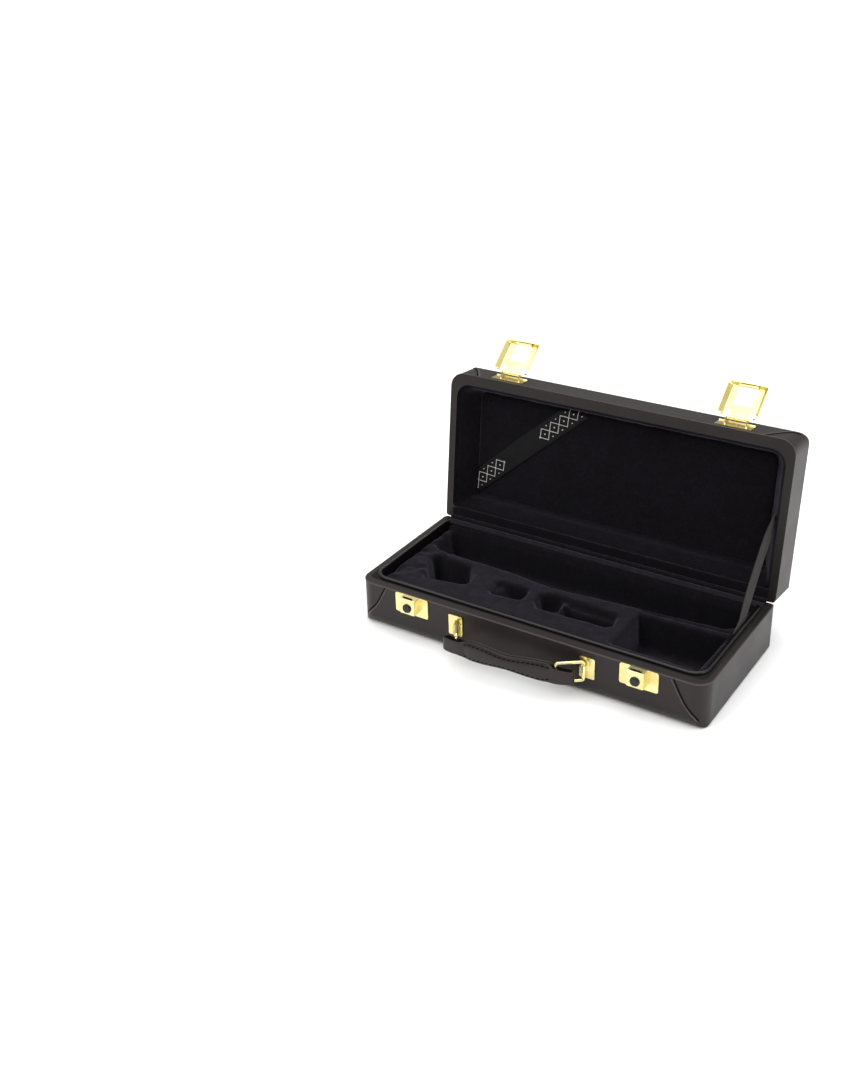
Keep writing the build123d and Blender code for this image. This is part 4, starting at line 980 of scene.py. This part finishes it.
def grip_mesh():
    stations = []
    N = 96
    for i in range(N + 1):
        stations.append((GX0 + (GX1 - GX0) * i / N, 0.0, -1))
    for i in range(1, 12):
        stations.append((GX1, pi * i / 12, 1))
    for i in range(N + 1):
        stations.append((GX1 - (GX1 - GX0) * i / N, pi, -1))
    for i in range(1, 12):
        stations.append((GX0, pi + pi * i / 12, 0))
    verts, faces = [], []
    per = None
    for (x, phi, which) in stations:
        y, s = hermite(SPINE, x)
        k = sqrt(1 + s * s)
        T = Vector((1 / k, s / k, 0))
        F = Vector((s / k, -1 / k, 0))
        nrm = F * cos(phi) + T * sin(phi)
        H, di, de, dm = grip_shape(x)
        hollow = 1.62 * min(ease((x + 36.5) / 1.6), ease((36.5 - x) / 1.6))
        sec = []
        zi = [H - 0.5, H - 0.9, H - 1.6, min(H - 1.7, 6.2), min(H - 1.8, 5.5)]
        open_ = [0.52, 0.30, 0.0, 0.0, 0.0]
        body = min(ease((x + 46) / 4), ease((44 - x) / 4))
        zi = [(-z, g) for z, g in zip(zi, open_)] + [(0.0, 0.0)] + [(z, g) for z, g in zip(zi, open_)][::-1]
        for z, g in zi:
            sec.append((max(di + g * body, hollow if abs(z) < 5.6 else 0.0), z))
        di = di + 0.52 * body
        ro = grip_face(x, H - 0.5)
        for j in range(1, 6):
            an = pi * j / 6
            sec.append(((di + ro) / 2 - cos(an) * (ro - di) / 2, H - 0.5 + 0.5 * sin(an)))
        for j in range(27):
            z = (H - 0.5) * (1 - 2 * j / 26)
            wob = 0.07 * noise.noise(Vector((x * 0.16, z * 0.2, phi)))
            sec.append((grip_face(x, z) + wob, z))
        for j in range(1, 6):
            an = pi * j / 6
            sec.append(((di + ro) / 2 + cos(an) * (ro - di) / 2, -(H - 0.5) - 0.5 * sin(an)))
        per = len(sec)
        for (r, z) in sec:
            verts.append(Vector((x + nrm.x * r, y + nrm.y * r, GRIP_Z + grip_z(x, phi, z))) * MM)
    ns = len(stations)
    for i in range(ns):
        i2 = (i + 1) % ns
        for j in range(per):
            j2 = (j + 1) % per
            faces.append((i * per + j, i * per + j2, i2 * per + j2, i2 * per + j))
    ob = mesh_obj("handle_leather", verts, faces, M["grip"])
    fix_normals(ob)
    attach(ob, "handle")
    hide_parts("handle_grip")
    return ob


grip_mesh()


def join(name, parts, mat, body):
    """One piece out of several closed shells."""
    verts, faces = [], []
    for v, f in parts:
        o = len(verts)
        verts += v
        faces += [tuple(o + i for i in q) for q in f]
    ob = mesh_obj(name, verts, faces, mat)
    fix_normals(ob)
    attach(ob, body)
    return ob


def grip_stitches():
    shells = []
    for side in (-1, 1):
        for row in (-1, 1):
            x = -42.0
            while x < 38.5:
                pts = []
                for j in range(6):
                    t = j / 5
                    xx = x + 3.2 * t
                    y, s = hermite(SPINE, xx)
                    k = sqrt(1 + s * s)
                    H = grip_shape(xx)[0]
                    z = row * (H - 2.7) + 0.34 * (t - 0.5)
                    r = grip_face(xx, z) - 0.16 + 0.34 * sin(pi * t) ** 0.5
                    zz = GRIP_Z + grip_z(xx, 0.0 if side < 0 else pi, z)
                    pts.append(Vector((xx - side * r * s / k, y + side * r / k, zz)) * MM)
                shells.append(tube(pts, [0.26 * MM, 0.50 * MM, 0.56 * MM, 0.56 * MM, 0.50 * MM, 0.26 * MM], 6))
                x += 4.4
    join("handle_stitches", shells, M["thread"], "handle")


grip_stitches()


# ------------------------------------------- corner seams and folded rim edges
SEAM = ((143.9, 43.4), (147.9, 35.5), (152.3, 27.3), (157.0, 20.2), (162.0, 14.7), (165.2, 11.2), (167.0, 8.0),
        (167.6, 4.2), (167.4, 1.6))


def wall(x, z, out):
    """Point of the outer front wall at (x, z), moved out, and the wall's normal."""
    q = max(0.0, 11 - z)
    i = 11 - sqrt(121 - q * q)
    R = 14.5 - i
    nz = -q / 11
    h = sqrt(1 - nz * nz)
    ax = abs(x)
    if ax > 160.5:
        nx = min((ax - 160.5) / R, 0.98) * math.copysign(1, x)
        ny = -sqrt(1 - nx * nx)
        y = -62 + R * ny
    else:
        nx, ny, y = 0.0, -1.0, FRONT + i
    n = Vector((nx * h, ny * h, nz))
    return Vector((x, y, z)) + n * out, n


def seam_piece(half, sx):
    # the lid is lower than the base, so its seam is shorter
    low = 0.0 if half == "base" else BASE_H - LID_H
    place = basew if half == "base" else (lambda x, y, z: lidw(x, y, 90 - low - z))
    line = spline([Vector((sx * x, 0, z * (BASE_H - low) / BASE_H)) for x, z in SEAM], 8)
    weld, fold = [], []
    for i, p in enumerate(line):
        q0, q1 = line[max(i - 1, 0)], line[min(i + 1, len(line) - 1)]
        t = (q1 - q0).normalized()
        side = Vector((-t.z, 0, t.x)) * 1.0
        if side.x * sx < 0:
            side = -side
        sink = -1.1 if i in (0, len(line) - 1) else -0.35
        a, n = wall(p.x, p.z, sink)
        weld.append(place(a.x, a.y, a.z))
        b, n = wall(p.x + side.x * 1.55, min(max(p.z + side.z * 1.55, 1.5), 43.7 - low), sink - 0.22)
        fold.append(place(b.x, b.y, b.z))
    nm = "%s_%s" % (half, "left" if sx < 0 else "right")
    # painted highlight: the welt takes the lighter edge leather; painted shade: the tube beside it is near-black,
    # standing in for the shade in the groove
    join("seam_welt_" + nm, [tube(weld, 1.05 * MM, 10)], M["edge"], half)
    join("seam_painted_shade_" + nm, [tube(fold, 1.06 * MM, 10)], M["crease"], half)


for half in ("base", "lid"):
    for sx in (-1, 1):
        seam_piece(half, sx)


def rim_edge(half):
    z = 44.36 if half == "base" else 45.64
    place = basew if half == "base" else lidw
    d = 0.12
    X, Y0, r = LENGTH / 2 - d, FRONT + d, 14.5 - d
    pts = [(-X, 66.0), (-X, 60.0)]
    pts += [(-X, 60 - 122 * i / 24) for i in range(1, 24)]
    for i in range(13):
        a = radians(180 + 90 * i / 12)
        pts.append((-X + r + r * cos(a), Y0 + r + r * sin(a)))
    pts += [(-X + r + (2 * X - 2 * r) * i / 48, Y0) for i in range(1, 48)]
    for i in range(13):
        a = radians(270 + 90 * i / 12)
        pts.append((X - r + r * cos(a), Y0 + r + r * sin(a)))
    pts += [(X, -62 + 122 * i / 24) for i in range(1, 25)] + [(X, 66.0)]
    line = [place(x, y, z) for x, y in pts]
    # painted highlight: the thin tube round the rim's outer edge takes the lighter edge leather, standing in for the
    # light the rounded edge catches
    join("rim_edge_" + half, [tube(line, 0.48 * MM, 10)], M["edge"], half)


rim_edge("base")
rim_edge("lid")


def button_coil(side):
    """A copy of the coil behind a release button, attached to the base."""
    node = "button_spring_" + side
    src = frame["nodes"][node]
    me = src.data.copy()
    me.name = "button_coil_" + side
    me.transform(src.matrix_world)
    ob = bpy.data.objects.new("button_coil_" + side, me)
    bpy.context.scene.collection.objects.link(ob)
    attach(ob, "base")
    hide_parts(node)
    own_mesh(ob)


button_coil("left")
button_coil("right")


# ------------------------------------------------------------------- camera
def make_camera():
    az, el, roll = radians(35.36), radians(26.90), radians(-2.49)
    back = Vector((sin(az) * cos(el), -cos(az) * cos(el), sin(el)))
    fwd = -back
    right = fwd.cross(Vector((0, 0, 1))).normalized()
    up = right.cross(fwd)
    r2 = right * cos(roll) + up * sin(roll)
    u2 = -right * sin(roll) + up * cos(roll)
    cam = bpy.data.cameras.new("camera")
    cam.sensor_fit = 'HORIZONTAL'
    cam.sensor_width = 36.0
    cam.lens = 1321.13 / 852 * 36.0
    cam.shift_x = (426 - 403.89) / 852
    cam.shift_y = (507.66 - 533) / 852
    cam.clip_end = 120
    ob = bpy.data.objects.new("camera", cam)
    m4 = Matrix.Identity(4)
    for i in range(3):
        m4[i][0], m4[i][1], m4[i][2] = r2[i], u2[i], back[i]
    m4[0][3], m4[1][3], m4[2][3] = 0.4925, -0.9391, 0.6719
    ob.matrix_world = m4
    bpy.context.scene.collection.objects.link(ob)
    bpy.context.scene.camera = ob
    return ob


make_camera()


def area(name, loc, target, size, energy, col=(1, 1, 1), size_y=None):
    li = bpy.data.lights.new(name, 'AREA')
    li.energy = energy
    li.color = col
    li.shape = 'RECTANGLE'
    li.size = size
    li.size_y = size_y or size
    ob = bpy.data.objects.new(name, li)
    ob.location = loc
    d = Vector(target) - Vector(loc)
    ob.rotation_euler = d.to_track_quat('-Z', 'Y').to_euler()
    bpy.context.scene.collection.objects.link(ob)
    return ob


area("key", (-0.9, -1.5, 1.9), (0, 0, 0.05), 1.3, 8)
area("side", (2.2, -0.2, 0.42), (0.1, 0, 0.05), 1.1, 11)
area("top", (0.1, 0.5, 2.2), (0, 0.02, 0.05), 1.6, 8)
w = bpy.data.worlds.new("studio")
bpy.context.scene.world = w
w.use_nodes = True
w.node_tree.nodes["Background"].inputs[1].default_value = 1.0
wt = w.node_tree
wc = wt.nodes.new("ShaderNodeTexCoord")
ws = wt.nodes.new("ShaderNodeSeparateXYZ")
wr = wt.nodes.new("ShaderNodeMapRange")
for i, v in ((1, 0.35), (2, 0.90), (3, 0.32), (4, 2.2)):
    wr.inputs[i].default_value = v
wt.links.new(wc.outputs["Generated"], ws.inputs[0])
wt.links.new(ws.outputs[2], wr.inputs[0])
wt.links.new(wr.outputs[0], wt.nodes["Background"].inputs[0])
bpy.context.scene.view_settings.view_transform = 'Standard'

fl = mesh_obj("floor", [(-40, -40, -0.0002), (40, -40, -0.0002), (40, 40, -0.0002), (-40, 40, -0.0002)],
              [(0, 1, 2, 3)], M["floor"], False)
